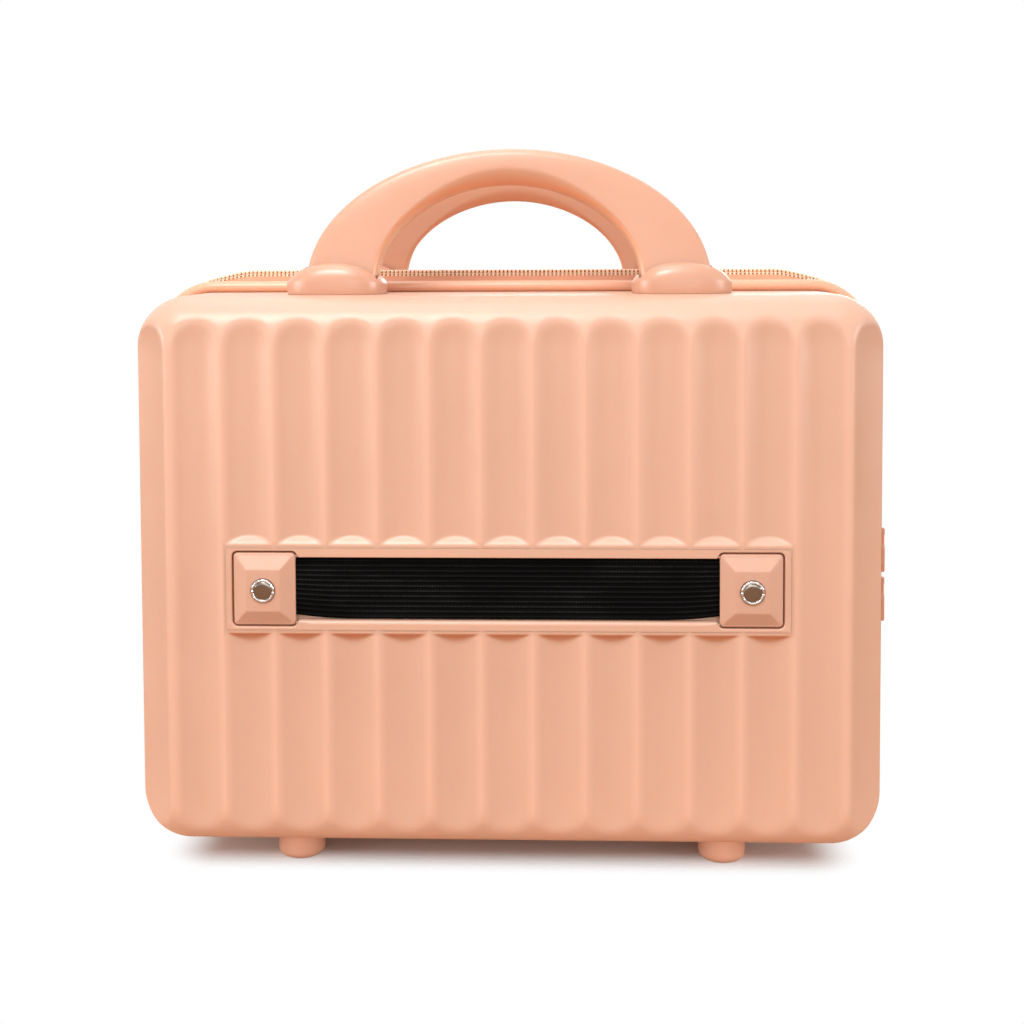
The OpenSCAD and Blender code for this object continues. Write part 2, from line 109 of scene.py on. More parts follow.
_, CAP_HI, CAP_MID, (CAP_W, CAP_D, _) = box_mm("back_cap_right")
CAP_X = CAP_MID[0]
CAP_H = CAP_HI[2] - TOP
CAP_WALL_H = 4.4
CAP_SLOT = {"back": 53.5, "front": 49.2}  # where the slot for the handle starts
HANDLE_Y = -CAP_MID[1]
HANDLE_Z = box_mm("back_handle_pins")[2][2]
HANDLE_LEAN = math.radians(9)
HANDLE_T = 15.0
HANDLE_A, HANDLE_B = 83.0, 54.6  # half axes of the outer arch
HANDLE_GAP = {"back": (54.5, 41.0), "front": (50.4, 36.4)}  # half axes of the gap
ARCH_Z = -4.0
PIN_R = 2.0

TEETH_TOP = box_mm("back_zip_teeth")[1][2] - TOP
TEETH_PITCH = 1.78
ZIP_LOW = EDGE_R + 8
PATH_STEP = 2.5
TAPE_IN = -WALL - 1.35
TAPE_HALF, HINGE_HALF = 0.34, 0.36  # half thicknesses
HINGE_TURN = math.radians(24)  # how far the hinge strip goes into the corners
SINK, SINK_START, SINK_RUN = 5.0, 16, 30  # how the zip lies lower at the top corners
PIPE_R = 2.65
PIPE_OUT = 2.15
PIPE_DEPTH = RIM - 0.9

LINING_OFF = WALL + 4.8
LINING_FACE = HALF_D - 9.5

# where the camera sees the floor, in metres from the middle: half width, half depth, soft edge
FLOOR_SHADE = (0.122, 0.036, 0.025)
FLOOR_SIZE = 6.0


# ---- colours, linear
def lin(*rgb):
    """An sRGB colour from 0 to 255."""
    return (*(c / 3294.6 if c <= 10.3 else ((c / 255 + 0.055) / 1.055) ** 2.4 for c in rgb), 1.0)


def shade(color, k):
    return (*(c * k for c in color[:3]), 1.0)


PEACH = (0.63, 0.372, 0.264, 1)
# painted highlight: a paler peach for the crests between the flutes
PEACH_CREST_HIGHLIGHT = (0.70, 0.42, 0.305, 1)
# painted shade: a deep, saturated peach for the crease under the strap's land
PEACH_CREASE_SHADE = (0.53, 0.18, 0.075, 1)
# painted light: paler than the shell's peach, standing in for light on the feet in the shade under the case
PEACH_FOOT_LIT = (0.80, 0.46, 0.32, 1)
# painted light: a warm bounce-light tone for the grip's faces under the arch's crown
PEACH_ARCH_BOUNCE_LIGHT = (0.74, 0.33, 0.175, 1)
# painted light: a lighter tone for the grip's legs where they face into the arch
PEACH_LEG_LIGHT = (0.77, 0.44, 0.28, 1)
PEACH_BLOCK = (0.585, 0.33, 0.23, 1)
PEACH_DEEP = (0.70, 0.355, 0.235, 1)
PEACH_CAP = (0.58, 0.305, 0.20, 1)
PEACH_GRIP = (0.61, 0.318, 0.206, 1)
PIPING = (0.76, 0.385, 0.235, 1)
TAPE = lin(233, 162, 128)
# painted shade: a deep orange for the strip in the gap between the teeth rows
ZIP_GAP_SHADE = lin(186, 100, 62)
TEETH = lin(250, 212, 180)
LINING = lin(226, 184, 160)
# the lighter tone serves both the stitches and the painted highlight on the cords
CORD_LOW, CORD_STITCH_AND_HIGHLIGHT = lin(4, 4, 4), lin(80, 80, 82)
CHROME = lin(222, 222, 224)
BOLT_DISC = lin(146, 136, 128)
ZINC = lin(176, 176, 180)
FLOOR = (0.80, 0.71, 0.65, 1)
FLOOR_NEAR, FLOOR_FAR = (0.72, 0.48, 0.34, 1), (0.44, 0.25, 0.15, 1)  # as the light off it


# ---- materials
class Nodes:
    """Adds nodes to a new material or world. A value is a socket to link or a plain value."""

    def __init__(self, owner):
        owner.use_nodes = True
        self.owner, self.tree = owner, owner.node_tree
        self.main = self.tree.nodes.get("Principled BSDF") or self.tree.nodes["Background"]

    def put(self, socket, value):
        if isinstance(value, bpy.types.NodeSocket):
            self.tree.links.new(value, socket)
        else:
            socket.default_value = value

    def add(self, kind, inputs, out=0, **settings):
        """A node with its settings and inputs, by name or place. Gives one of its outputs."""
        node = self.tree.nodes.new("ShaderNode" + kind)
        for key, value in settings.items():
            setattr(node, key, value)
        for key, value in inputs.items():
            self.put(node.inputs[key], value)
        return node.outputs[out]

    def set(self, **values):
        for key, value in values.items():
            self.put(self.main.inputs[key.replace("_", " ")], value)

    def coord(self):
        return self.add("TexCoord", {}, "Object")

    def split(self, vector):
        return self.add("SeparateXYZ", {0: vector}, slice(0, 3))

    def facing(self):
        return self.split(self.add("NewGeometry", {}, "Normal"))

    def noise(self, scale, detail, rough=0.5, stretch=(1, 1, 1)):
        place = self.add("Mapping", {"Vector": self.coord(), "Scale": stretch})
        return self.add("TexNoise", {"Vector": place, "Scale": scale, "Detail": detail, "Roughness": rough}, "Fac")

    def waves(self, scale, axis, distortion, detail):
        inputs = {"Vector": self.coord(), "Scale": scale, "Distortion": distortion, "Detail": detail}
        return self.add("TexWave", inputs, "Fac", bands_direction=axis)

    def math(self, op, a, b=0.0):
        return self.add("Math", {0: a, 1: b}, operation=op)

    def mul(self, a, b):
        return self.math("MULTIPLY", a, b)

    def off(self, value, place=0.0):
        """How far a value is from a place."""
        return self.math("ABSOLUTE", self.math("SUBTRACT", value, place) if place else value)

    def ramp(self, fac, low, high, start=0.0, end=1.0, **settings):
        inputs = {"Value": fac, "From Min": low, "From Max": high, "To Min": start, "To Max": end}
        return self.add("MapRange", inputs, **settings)

    def spread(self, fac, low, high):
        """A noise's usual range, spread from low to high."""
        return self.ramp(fac, 0.3, 0.7, low, high)

    def mix(self, fac, a, b):
        return self.add("Mix", {"Factor": fac, 6: a, 7: b}, 2, data_type="RGBA")

    def mix_shader(self, fac, a, b):
        return self.add("MixShader", {0: fac, 1: a, 2: b})

    def bump(self, height, strength, distance, **chain):
        return self.add("Bump", {"Strength": strength, "Distance": distance, "Height": height, **chain})

    def tint(self, fac, color):
        """Blends a colour over the base colour."""
        base = self.main.inputs["Base Color"].links[0].from_socket
        self.set(Base_Color=self.mix(fac, base, color))


def material(name):
    return Nodes(bpy.data.materials.new(name))


def plastic(name, color, rough=0.42, tone=0.03, depth=0.0022):
    """Moulded plastic: satin, faintly clouded, with a little light carried under the surface."""
    n = material(name)
    cloud = n.spread(n.noise(14, 2), 0, 1)
    n.set(Base_Color=n.mix(cloud, shade(color, 1 - tone), shade(color, 1 + tone)))
    fine = n.bump(n.noise(1500, 2), 0.10, 0.00006)
    n.set(Roughness=n.spread(n.noise(90, 4), rough - 0.04, rough + 0.05),
          Normal=n.bump(n.noise(260, 2), 0.06, 0.0002, Normal=fine),
          Specular_IOR_Level=0.75, Subsurface_Weight=0.3, Subsurface_Scale=depth,
          Subsurface_Radius=(1.0, 0.28, 0.14))
    return n


def shell_plastic():
    """Shell plastic: a little paler on the crests between the flutes as painted highlight, deeper under the strap's
    land as painted shade.
    """
    n = plastic("peach_shell", PEACH, 0.40)
    x, y, z = n.split(n.coord())
    # painted highlight: the crests between the flutes, off the land, are tinted paler
    crest = n.ramp(n.off(y), (HALF_D - 1.3) * MM, HALF_D * MM)
    land = (STRAP_Y + MID) * MM
    off_land = n.math("MAXIMUM", n.ramp(n.off(z, land), (LAND_H / 2 - 0.5) * MM, (LAND_H / 2 + 1.5) * MM),
                      n.ramp(n.off(x, FLUTE_SHIFT * MM), (LAND_HALF - 0.3) * MM, (LAND_HALF + 0.3) * MM))
    off_land = n.math("MAXIMUM", off_land, n.ramp(y, 0, MM))
    n.tint(n.mul(crest, off_land), PEACH_CREST_HIGHLIGHT)
    # painted shade: down-facing surfaces just under the land's lower edge are tinted deep
    down = n.ramp(n.facing()[2], -0.15, -0.7)
    near = n.ramp(n.off(z, land - (LAND_H / 2 + 2.6) * MM), 3.6 * MM, 2.4 * MM)
    n.tint(n.mul(down, near), PEACH_CREASE_SHADE)
    return n


def handle_plastic():
    """Grip plastic with painted light on the faces that look into the arch: deeper and warmer under the crown, lighter
    on the legs.
    """
    n = plastic("peach_handle", PEACH_GRIP, 0.36)
    x, _, z = n.split(n.coord())
    face_x, _, face_z = n.facing()
    up = n.mul(n.math("SUBTRACT", z, HANDLE_Z * MM), face_z)
    # painted light: faces looking into the arch are tinted, warm under the crown and lighter on the legs
    into = n.ramp(n.math("ADD", up, n.mul(x, face_x)), -12 * MM, -32 * MM)
    leg = n.ramp(n.off(face_x), 0.45, 0.9)
    n.tint(into, n.mix(leg, PEACH_ARCH_BOUNCE_LIGHT, PEACH_LEG_LIGHT))
    return n


def weave(name, color, pitch, rough=0.85, contrast=0.25):
    """Woven cloth: two crossed sets of threads, with colour deep between them."""
    n = material(name)
    threads = n.mul(*(n.waves(1 / (2 * pitch), axis, 1.2, 1) for axis in "XZ"))
    fuzz = n.noise(1800, 4, 0.7)
    tone = n.math("ADD", n.mul(threads, 0.7), n.mul(n.noise(120, 3), 0.5))
    n.set(Base_Color=n.mix(n.spread(tone, 0, 1), shade(color, 1 - contrast), shade(color, 1 + contrast * 0.3)),
          Roughness=n.spread(fuzz, rough - 0.05, rough + 0.08),
          Normal=n.bump(n.math("ADD", threads, n.mul(fuzz, 0.5)), 0.5, 0.00025),
          Sheen_Weight=0.25, Sheen_Roughness=0.4, Specular_IOR_Level=0.25)
    return n


def metal(name, color, rough, streak=(1, 1, 1), spread=0.05):
    n = material(name)
    grain = n.noise(700, 5, 0.65, streak)
    n.set(Base_Color=n.mix(n.spread(grain, 0, 1), shade(color, 0.93), color), Metallic=1.0,
          Roughness=n.spread(grain, rough, rough + spread), Normal=n.bump(grain, 0.06, 0.00004))
    return n


def elastic_webbing():
    """Black elastic: fine crosswise stitches, lighter on the top of each cord as painted highlight."""
    n = material("elastic_black")
    ticks, fuzz = n.waves(520, "X", 2.2, 2), n.noise(2600, 4, 0.7)
    worn = n.spread(n.noise(60, 3, 0.6, (0.35, 1, 1)), 0.3, 1.3)
    grey = n.mul(n.mul(ticks, fuzz), worn)
    # painted highlight: the stitches' grey shows only at the front of each cord
    ridge_highlight = n.ramp(n.off(n.split(n.coord())[1]), (STRAP_FRONT - 0.32) * MM, STRAP_FRONT * MM, 0.1, 1.0)
    n.set(Base_Color=n.mix(n.mul(n.spread(grey, 0.1, 1), ridge_highlight), CORD_LOW, CORD_STITCH_AND_HIGHLIGHT),
          Roughness=n.spread(fuzz, 0.7, 0.9), Normal=n.bump(n.math("ADD", ticks, fuzz), 0.55, 0.00018),
          Specular_IOR_Level=0.03)
    return n


# each look: the record's material slot and the material
LOOKS = {
    "shell": ("shell_plastic", shell_plastic()),
    "handle": ("handle_plastic", handle_plastic()),
    "cap": ("cap_plastic", plastic("peach_cap", PEACH_CAP, 0.34)),
    "foot": ("foot_plastic", plastic("peach_foot_lit", PEACH_FOOT_LIT)),
    "block": ("block_plastic", plastic("peach_block", PEACH_BLOCK, 0.52)),
    "piping": ("piping_vinyl", plastic("peach_vinyl", PIPING, 0.33, 0.02)),
    "teeth": ("zip_nylon", plastic("peach_nylon", TEETH, 0.3)),
    "tape": ("zip_fabric", weave("peach_tape", TAPE, 0.0007)),
    "core": ("zip_fabric", weave("peach_gap_shade", ZIP_GAP_SHADE, 0.0006)),
    "lining": ("lining_fabric", weave("lining_cloth", LINING, 0.0011, 0.9, 0.12)),
    "elastic": ("elastic", elastic_webbing()),
    "chrome": ("bolt_chrome", metal("chrome", CHROME, 0.10)),
    "disc": ("bolt_chrome", metal("chrome_disc", BOLT_DISC, 0.16)),
    "steel": ("hidden_steel", metal("zinc_steel", ZINC, 0.32, (1, 6, 1), 0.12)),
    "zip_metal": ("zip_metal", plastic("peach_enamel", PEACH_DEEP, 0.28, 0.02, 0.0005)),
}
STEEL_PARTS = ("cap_plates", "cap_screws", "foot_screws")


# ---- mesh helpers
# A mesh is (verts, faces), in mm. Half-shell points are across, up from the middle, and outward in depth.
def on_half(mesh, sy):
    """Half-shell points to the row frame, for the back (-1) or the front (1)."""
    p = np.asarray(mesh[0], float)
    return np.column_stack([p[:, 0], sy * p[:, 2], p[:, 1] + MID]), mesh[1]


def add_object(name, data):
    obj = bpy.data.objects.new(name, data)
    bpy.context.scene.collection.objects.link(obj)
    return obj


def smooth(mesh, sharp):
    mesh.polygons.foreach_set("use_smooth", [True] * len(mesh.polygons))
    mesh.set_sharp_from_angle(angle=math.radians(sharp))


def build(name, mesh, look, body, nodes, sharp=40, weld=True):
    """A piece that rides on a body and stands for CAD nodes."""
    data = bpy.data.meshes.new(name)
    data.from_pydata([tuple(v) for v in np.asarray(mesh[0], float) * MM], [], mesh[1])
    bm = bmesh.new()
    bm.from_mesh(data)
    if weld:
        bmesh.ops.remove_doubles(bm, verts=bm.verts, dist=4e-6)
        bmesh.ops.dissolve_degenerate(bm, edges=bm.edges, dist=1e-6)
    bmesh.ops.recalc_face_normals(bm, faces=bm.faces)
    bm.to_mesh(data)
    bm.free()
    slot, surface = LOOKS[look]
    data.materials.append(surface.owner)
    smooth(data, sharp)
    obj = add_object(name, data)
    if body:
        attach(obj, body)
    if nodes:
        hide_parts(*nodes)
    return obj


def half_piece(side, name, mesh, look, node="", **settings):
    """A piece in half-shell points that rides on its half, and may stand for one of its CAD nodes."""
    nodes = (f"{side}_{node}",) if node else ()
    return build(f"{side}_{name}", on_half(mesh, SIDES[side]), look, f"{side}_half", nodes, **settings)


def grid_faces(rows, cols, wrap_rows=False, wrap_cols=False):
    faces = []
    for i in range(rows if wrap_rows else rows - 1):
        for j in range(cols if wrap_cols else cols - 1):
            a, b = i * cols, (i + 1) % rows * cols
            k = (j + 1) % cols
            faces.append((a + j, a + k, b + k, b + j))
    return faces


def tube(rings, ends=False, closed=False):
    """A skin over rings of points, with its ends shut, or joined when closed."""
    n, m = len(rings), len(rings[0])
    faces = grid_faces(n, m, closed, True)
    if ends:
        faces += [tuple(range(m)), tuple((n - 1) * m + j for j in range(m))]
    return np.vstack(rings), faces


def turned(profile, n, cx, cy):
    """A profile of (radius, height) turned about an upright axis. A height may vary round its ring."""
    a = 2 * math.pi * np.arange(n) / n
    return tube([np.column_stack([cx + r * np.cos(a), cy + r * np.sin(a), z + np.zeros(n)]) for r, z in profile])


def join_parts(parts):
    verts, faces, n = [], [], 0
    for v, f in parts:
        verts.append(np.asarray(v, float))
        faces += [tuple(i + n for i in face) for face in f]
        n += len(v)
    return np.vstack(verts), faces


def grid(x, y, z, wrap_rows=False):
    """A mesh over three arrays of coordinates."""
    return np.column_stack([x.ravel(), y.ravel(), z.ravel()]), grid_faces(*x.shape, wrap_rows)


def arc(cx, cy, r, a0, a1, n):
    """Points on an arc, with its angles in degrees."""
    return [(cx + r * math.cos(a), cy + r * math.sin(a)) for a in np.radians(np.linspace(a0, a1, n + 1))]


def circle(r, n, cx=0.0, cy=0.0):
    return arc(cx, cy, r, 0, 360, n)[:-1]


def smooth_min(a, b, k):
    h = np.maximum(k - np.abs(a - b), 0) / k
    return np.minimum(a, b) - h * h * k / 4


def smooth_max(a, b, k):
    return -smooth_min(-a, -b, k)


# ---- paths round the case
# A path's points are base x, base y, outward x and outward y, on the edge of the core.
def outline(xs, ys, n_corner):
    """Closed loop round the core, with the given lines along its sides."""
    loop = []
    turn = np.linspace(0, math.pi / 2, n_corner + 1)[:-1]
    for line, ox, oy in ((xs[::-1], 0, 1), (ys[::-1], -1, 0), (xs, 0, -1), (ys, 1, 0)):
        loop += [(v, CORE_H * oy, ox, oy) if oy else (CORE_W * ox, v, ox, oy) for v in line[:-1]]
        loop += [(CORE_W * (ox - oy), CORE_H * (oy + ox), ox * math.cos(t) - oy * math.sin(t),
                  oy * math.cos(t) + ox * math.sin(t)) for t in turn]
    return np.array(loop)


def zip_path(step, low, extra=0.0):
    """Open path over the top, from the left side's lower end to the right side's."""
    side = 2 * CORE_H - (low - EDGE_R)
    quarter = math.pi / 2 * (EDGE_R + extra)
    total = 2 * (side + quarter + CORE_W)
    count = round(total / step)
    path = []
    for i in range(count + 1):
        hand = -1 if 2 * i < count else 1
        s = min(i, count - i) * total / count
        if s < side:
            path.append((hand * CORE_W, CORE_H - side + s, hand, 0))
        elif s < side + quarter:
            t = (s - side) / quarter * math.pi / 2
            path.append((hand * CORE_W, CORE_H, hand * math.cos(t), math.sin(t)))
        else:
            path.append((hand * (CORE_W + side + quarter - s), CORE_H, 0, 1))
    return np.array(path)


def bottom_corner(hand, end, n):
    """Points round a bottom corner, from the hinge strip's end to an angle."""
    return [(hand * CORE_W, -CORE_H, hand * math.sin(t), -math.cos(t)) for t in np.linspace(HINGE_TURN, end, n)]


def bottom_path(step):
    """Open path along the bottom, a little way into both corners."""
    middle = [(x, -CORE_H, 0, -1) for x in np.linspace(-CORE_W, CORE_W, int(2 * CORE_W / step))[1:-1]]
    return np.array(bottom_corner(-1, 0, 8) + middle + bottom_corner(1, 0, 8)[::-1])


def corner_path(hand):
    """Open path from the hinge strip's end round a bottom corner to the zip's end."""
    rise = np.linspace(-CORE_H, -CORE_H + ZIP_LOW + 0.5 - EDGE_R, 5)[1:]
    return np.array(bottom_corner(hand, math.pi / 2, 18) + [(hand * CORE_W, y, hand, 0) for y in rise])


def zip_sink(bx, by, dx, dy):
    """The zip is drawn tight round the top corners, and lies lower there."""
    turn = math.atan2(abs(dx), dy)
    along = EDGE_R * min(turn, math.pi / 2 - turn) - (CORE_W - abs(bx)) - (CORE_H - by)
    t = min(max((along + SINK_START) / SINK_RUN, 0.0), 1.0)
    return SINK * t * t * (3 - 2 * t)


def sweep(path, section, closed=False, sink=False):
    """Carries a closed section (outward from the side wall, depth) along a path."""
    section = np.asarray(section, float)
    rings = []
    for bx, by, dx, dy in path:
        r = EDGE_R + section[:, 0]
        if sink:
            r = r - zip_sink(bx, by, dx, dy) * np.clip(section[:, 0] / 6, 0, 1)
        rings.append(np.column_stack([bx + dx * r, by + dy * r, section[:, 1]]))
    return tube(rings, not closed, closed)


def thicken(line, half):
    """A closed section from a line, half to each side of it."""
    line = np.asarray(line, float)
    t = np.gradient(line, axis=0)
    t /= np.linalg.norm(t, axis=1)[:, None]
    side = np.column_stack([-t[:, 1], t[:, 0]]) * half
    return np.vstack([line + side, (line - side)[::-1]])


def around(loop, profile):
    """A ring profile (outward from the core, depth) carried round a loop, as three arrays."""
    x = loop[:, None, 0] + loop[:, None, 2] * profile[None, :, 0]
    y = loop[:, None, 1] + loop[:, None, 3] * profile[None, :, 0]
    return x, y, np.broadcast_to(profile[None, :, 1], x.shape)


# ---- shells
def flute_lines():
    """Grid lines across a shell, close together at the crests."""
    n, pull = 20, 0.55
    t = np.arange(n) / n
    t = t - pull * np.sin(2 * math.pi * t) / (2 * math.pi)
    lines = [(i - 0.5 + v) * FLUTE_PITCH + FLUTE_SHIFT for i in range(-7, 8) for v in t]
    lines = [x for x in lines if abs(x) < CORE_W - 0.25]
    for edge in (-PATCH_X, PATCH_X):
        near = min(range(len(lines)), key=lambda i: abs(lines[i] - edge))
        lines[near] = edge
    return np.array([-CORE_W, *lines, CORE_W])


def upright_lines(with_land):
    """Grid lines up a shell, close together round the land."""
    lines = list(np.linspace(-CORE_H, CORE_H, 61))
    if with_land:
        reach = LAND_H / 2 + FLUTE_DEPTH + 3
        lines = [y for y in lines if abs(y - STRAP_Y) > reach + 0.5]
        near = [PATCH_Y, PATCH_Y + 0.5, *np.arange(LAND_H / 2 - 0.5, reach, 0.4)]
        lines += [STRAP_Y + s * v for v in near for s in (-1, 1)]
        lines += [STRAP_Y + v for v in (-12, -8, -4, 0, 4, 8, 12)]
    return np.array(sorted(lines))


def flute_depth_at(y):
    """The flutes run out towards their rounded ends, most of all at the top."""
    end = CASE_H / 2 - np.abs(y)
    rise = np.clip((20 - end) / 11, 0, 1) ** 1.6
    return FLUTE_DEPTH - 0.9 * rise * np.where(y > 0, 1, 0.3)


def corner_depth(x, y):
    """Depth of the flute along each upright corner, which fades at its top."""
    inside = CORNER_R ** 2 - (np.abs(x) - CORE_W - CORNER_OFF) ** 2
    depth = HALF_D - EDGE_R + CORNER_OFF - np.sqrt(np.maximum(inside, 0))
    return np.where(inside > 0, depth, AWAY) + np.clip((y - CASE_H / 2 + 26) / 14, 0, 1) ** 2 * 1.6


def land_depth(x, y):
    """Depth of the strap's land and of the ramps above and below it."""
    past = np.maximum(np.abs(y - STRAP_Y) - LAND_H / 2, 0)
    below = HALF_D - 3.1 * (1 - np.exp(-past / 2.3)) - 0.1 * past
    ramp = np.where(y > STRAP_Y, HALF_D - past, below)
    return np.where(np.abs(x - FLUTE_SHIFT) < LAND_HALF, ramp, -AWAY)


def cut_depth(x, y, with_land):
    """Depth at which the flutes, the corner flutes and the land leave the sheet."""
    u = (x - FLUTE_SHIFT) / FLUTE_PITCH
    i = np.clip(np.round(u), -(FLUTES // 2), FLUTES // 2)
    dx = np.minimum(np.abs(u - i) * FLUTE_PITCH, FLUTE_R * 0.995)
    z = HALF_D - flute_depth_at(y) + FLUTE_R - np.sqrt(FLUTE_R ** 2 - dx ** 2)
    past = np.where(np.abs(x) > CASE_W / 2 - FLUTE_EDGE, AWAY, 0)
    z = np.where(np.abs(x) > CORE_W, np.minimum(z + past, corner_depth(x, y)), z)
    return smooth_max(z, land_depth(x, y), 0.5) if with_land else z


def outer_depth(x, y, z, with_land):
    return smooth_min(z, cut_depth(x, y, with_land), CREST_ROUND)


def inner_depth(x, y, z, with_land):
    z = np.minimum(z, cut_depth(x, y, with_land) - WALL)
    if with_land:
        under = FLOOR_D - WALL + np.maximum(np.abs(y - STRAP_Y) - LAND_H / 2, 0) * 2
        z = np.minimum(z, under + np.maximum(np.abs(x) - LAND_HALF, 0) * 2)
    return z


def roll(v):
    """The rolled edge is a little squarer than a quarter circle."""
    return max(v, 0.0) ** (2 / ROLL_POWER)


def shell_profile():
    """Ring profile: outward from the core, depth, and 1 for outer, 0 for edge or -1 for inner."""
    r, lip = EDGE_R - WALL, 0.6
    out = [(EDGE_R * roll(math.sin(a)), HALF_D - EDGE_R * (1 - roll(math.cos(a))), 1)
           for a in np.linspace(0, math.pi / 2, 41)]
    out += [(EDGE_R, z, 1) for z in np.linspace(HALF_D - EDGE_R, RIM + lip, 6)[1:]]
    out += [(x, z, 0) for x, z in arc(EDGE_R - lip, RIM + lip, lip, 0, -90, 3)[1:]]
    out += [(r, z, 0) for z in np.linspace(RIM, HALF_D - EDGE_R, 4)]
    out += [(r * roll(math.sin(a)), HALF_D - WALL - r * (1 - roll(math.cos(a))), -1)
            for a in np.linspace(math.pi / 2, 0, 13)[1:]]
    return np.array(out)


def shell_mesh(with_land):
    xs, ys = flute_lines(), upright_lines(with_land)
    loop, profile = outline(xs, ys, 26), shell_profile()
    x, y, z = around(loop, profile)
    kind = np.broadcast_to(profile[None, :, 2], x.shape)
    z = np.where(kind > 0, outer_depth(x, y, z, with_land), z)
    z = np.where(kind < 0, inner_depth(x, y, z, with_land), z)
    parts = [grid(x, y, z, True)]
    x, y = np.meshgrid(xs, ys)
    verts, outer = grid(x, y, outer_depth(x, y, np.full(x.shape, HALF_D), with_land))
    if with_land:
        off = np.abs(verts[outer, :2].mean(axis=1) - (0, STRAP_Y))
        outer = [f for f, (dx, dy) in zip(outer, off) if dx > PATCH_X or dy > PATCH_Y]
    parts += [(verts, outer), grid(x, y, inner_depth(x, y, np.full(x.shape, HALF_D - WALL), with_land))]
    if with_land:
        parts.append(land_patch(xs, ys))
    return join_parts(parts)


def pocket_outline():
    """Outline of the strap channel with a pocket at each end, and the lip radius at each point."""
    hw, hh = BLOCK_W / 2 + BLOCK_GAP, BLOCK_H / 2 + BLOCK_GAP
    ch, r, f = CHANNEL_H / 2, 2.2, 0.9  # half channel, pocket's corners, fillets into the channel
    x0, x1 = BLOCK_X - hw, BLOCK_X + hw
    right = arc(x0 - f, -ch - f, f, 90, 0, 4)
    for x, y, a in ((x0 + r, -hh + r, 180), (x1 - r, -hh + r, 270), (x1 - r, hh - r, 0), (x0 + r, hh - r, 90)):
        right += arc(x, y, r, a, a + 90, 8)
    right += arc(x0 - f, ch + f, f, 0, -90, 4)
    run = np.linspace(x0 - f - 2, -(x0 - f - 2), 60)
    points = right + [(x, ch) for x in run] + [(-x, y) for x, y in right[::-1]] + [(x, -ch) for x in run[::-1]]
    points = np.array(points)
    inward = x0 - np.abs(points[:, 0])
    below = 0.45 + 0.95 * np.minimum(1, inward / 5)
    return points, np.where(inward > 0.5, np.where(points[:, 1] < 0, below, 0.3), 0.45)


def offset_loop(points, dist):
    """Moves a counter-clockwise loop outward by a distance for each point."""
    t = np.roll(points, -1, axis=0) - np.roll(points, 1, axis=0)
    t /= np.linalg.norm(t, axis=1)[:, None]
    return points + np.column_stack([t[:, 1], -t[:, 0]]) * np.broadcast_to(dist, len(points))[:, None]


def inside_polygon(px, py, poly):
    hit = False
    for (x1, y1), (x2, y2) in zip(poly, [*poly[1:], *poly[:1]]):
        if (y1 > py) != (y2 > py) and px < (x2 - x1) * (py - y1) / (y2 - y1) + x1:
            hit = not hit
    return hit


def fill_between(outer, inner):
    """Flat triangles inside a loop of 2D points and outside another."""
    outer, inner = [tuple(p) for p in outer], [tuple(p) for p in inner]
    points = [Vector((float(x), float(y))) for x, y in outer + inner]
    n, m = len(outer), len(inner)
    edges = [(i, (i + 1) % n) for i in range(n)] + [(n + i, n + (i + 1) % m) for i in range(m)]
    verts, _, tris, _, _, _ = geometry.delaunay_2d_cdt(points, edges, [], 0, 1e-7)
    keep = []
    for t in tris:
        cx, cy = sum(verts[i].x for i in t) / 3, sum(verts[i].y for i in t) / 3
        if inside_polygon(cx, cy, outer) and not inside_polygon(cx, cy, inner):
            keep.append(tuple(t))
    return [(v.x, v.y) for v in verts], keep


def flat_fill(z, outer, inner=()):
    points, tris = fill_between(outer, inner)
    return [(x, y, z) for x, y in points], tris


def land_patch(xs, ys):
    """The flat land with the strap channel and the block pockets sunk into it."""
    points, lip = pocket_outline()
    xs = [x for x in xs if abs(x) <= PATCH_X + 1e-6]
    ys = [y for y in ys if abs(y - STRAP_Y) <= PATCH_Y + 1e-6]
    border = [(x, ys[0]) for x in xs[:-1]] + [(xs[-1], y) for y in ys[:-1]]
    border += [(x, ys[-1]) for x in xs[:0:-1]] + [(xs[0], y) for y in ys[:0:-1]]
    base = points + np.array([0, STRAP_Y])
    steps = [(lip + 0.25, HALF_D)]
    steps += [(lip * (1 - math.sin(a)), HALF_D - lip * (1 - math.cos(a))) for a in np.radians(np.linspace(0, 90, 6))]
    steps += [(0, FLOOR_D + 0.4), (-0.12, FLOOR_D + 0.1), (-0.4, FLOOR_D)]
    rings = [np.column_stack([offset_loop(base, d), np.broadcast_to(z, len(base))]) for d, z in steps]
    return join_parts([flat_fill(HALF_D, border, rings[0][:, :2]), tube(rings), flat_fill(FLOOR_D, rings[-1][:, :2])])


def make_shells():
    for side in SIDES:
        half_piece(side, "shell_skin", shell_mesh(side == "back"), "shell", "shell", sharp=50)


# ---- piping, zip and hinge
def make_piping():
    loop = outline(np.linspace(-CORE_W, CORE_W, 60), np.linspace(-CORE_H, CORE_H, 44), 26)
    bead = [(max(x, 0.1) if d > RIM - 0.1 else x, d) for x, d in circle(PIPE_R, 24, PIPE_OUT, PIPE_DEPTH)]
    low, high, back, step = -WALL - 1.2, -WALL - 0.1, RIM - 3.6, RIM + 7.4
    flange = [(low, back), (1.0, back), (1.0, RIM - 0.15), (high, RIM - 0.15), (high, step), (low, step)]
    mesh = join_parts([sweep(loop, bead, True), sweep(loop, flange, True)])
    for side in SIDES:
        half_piece(side, "piping_bead", mesh, "piping", "piping")


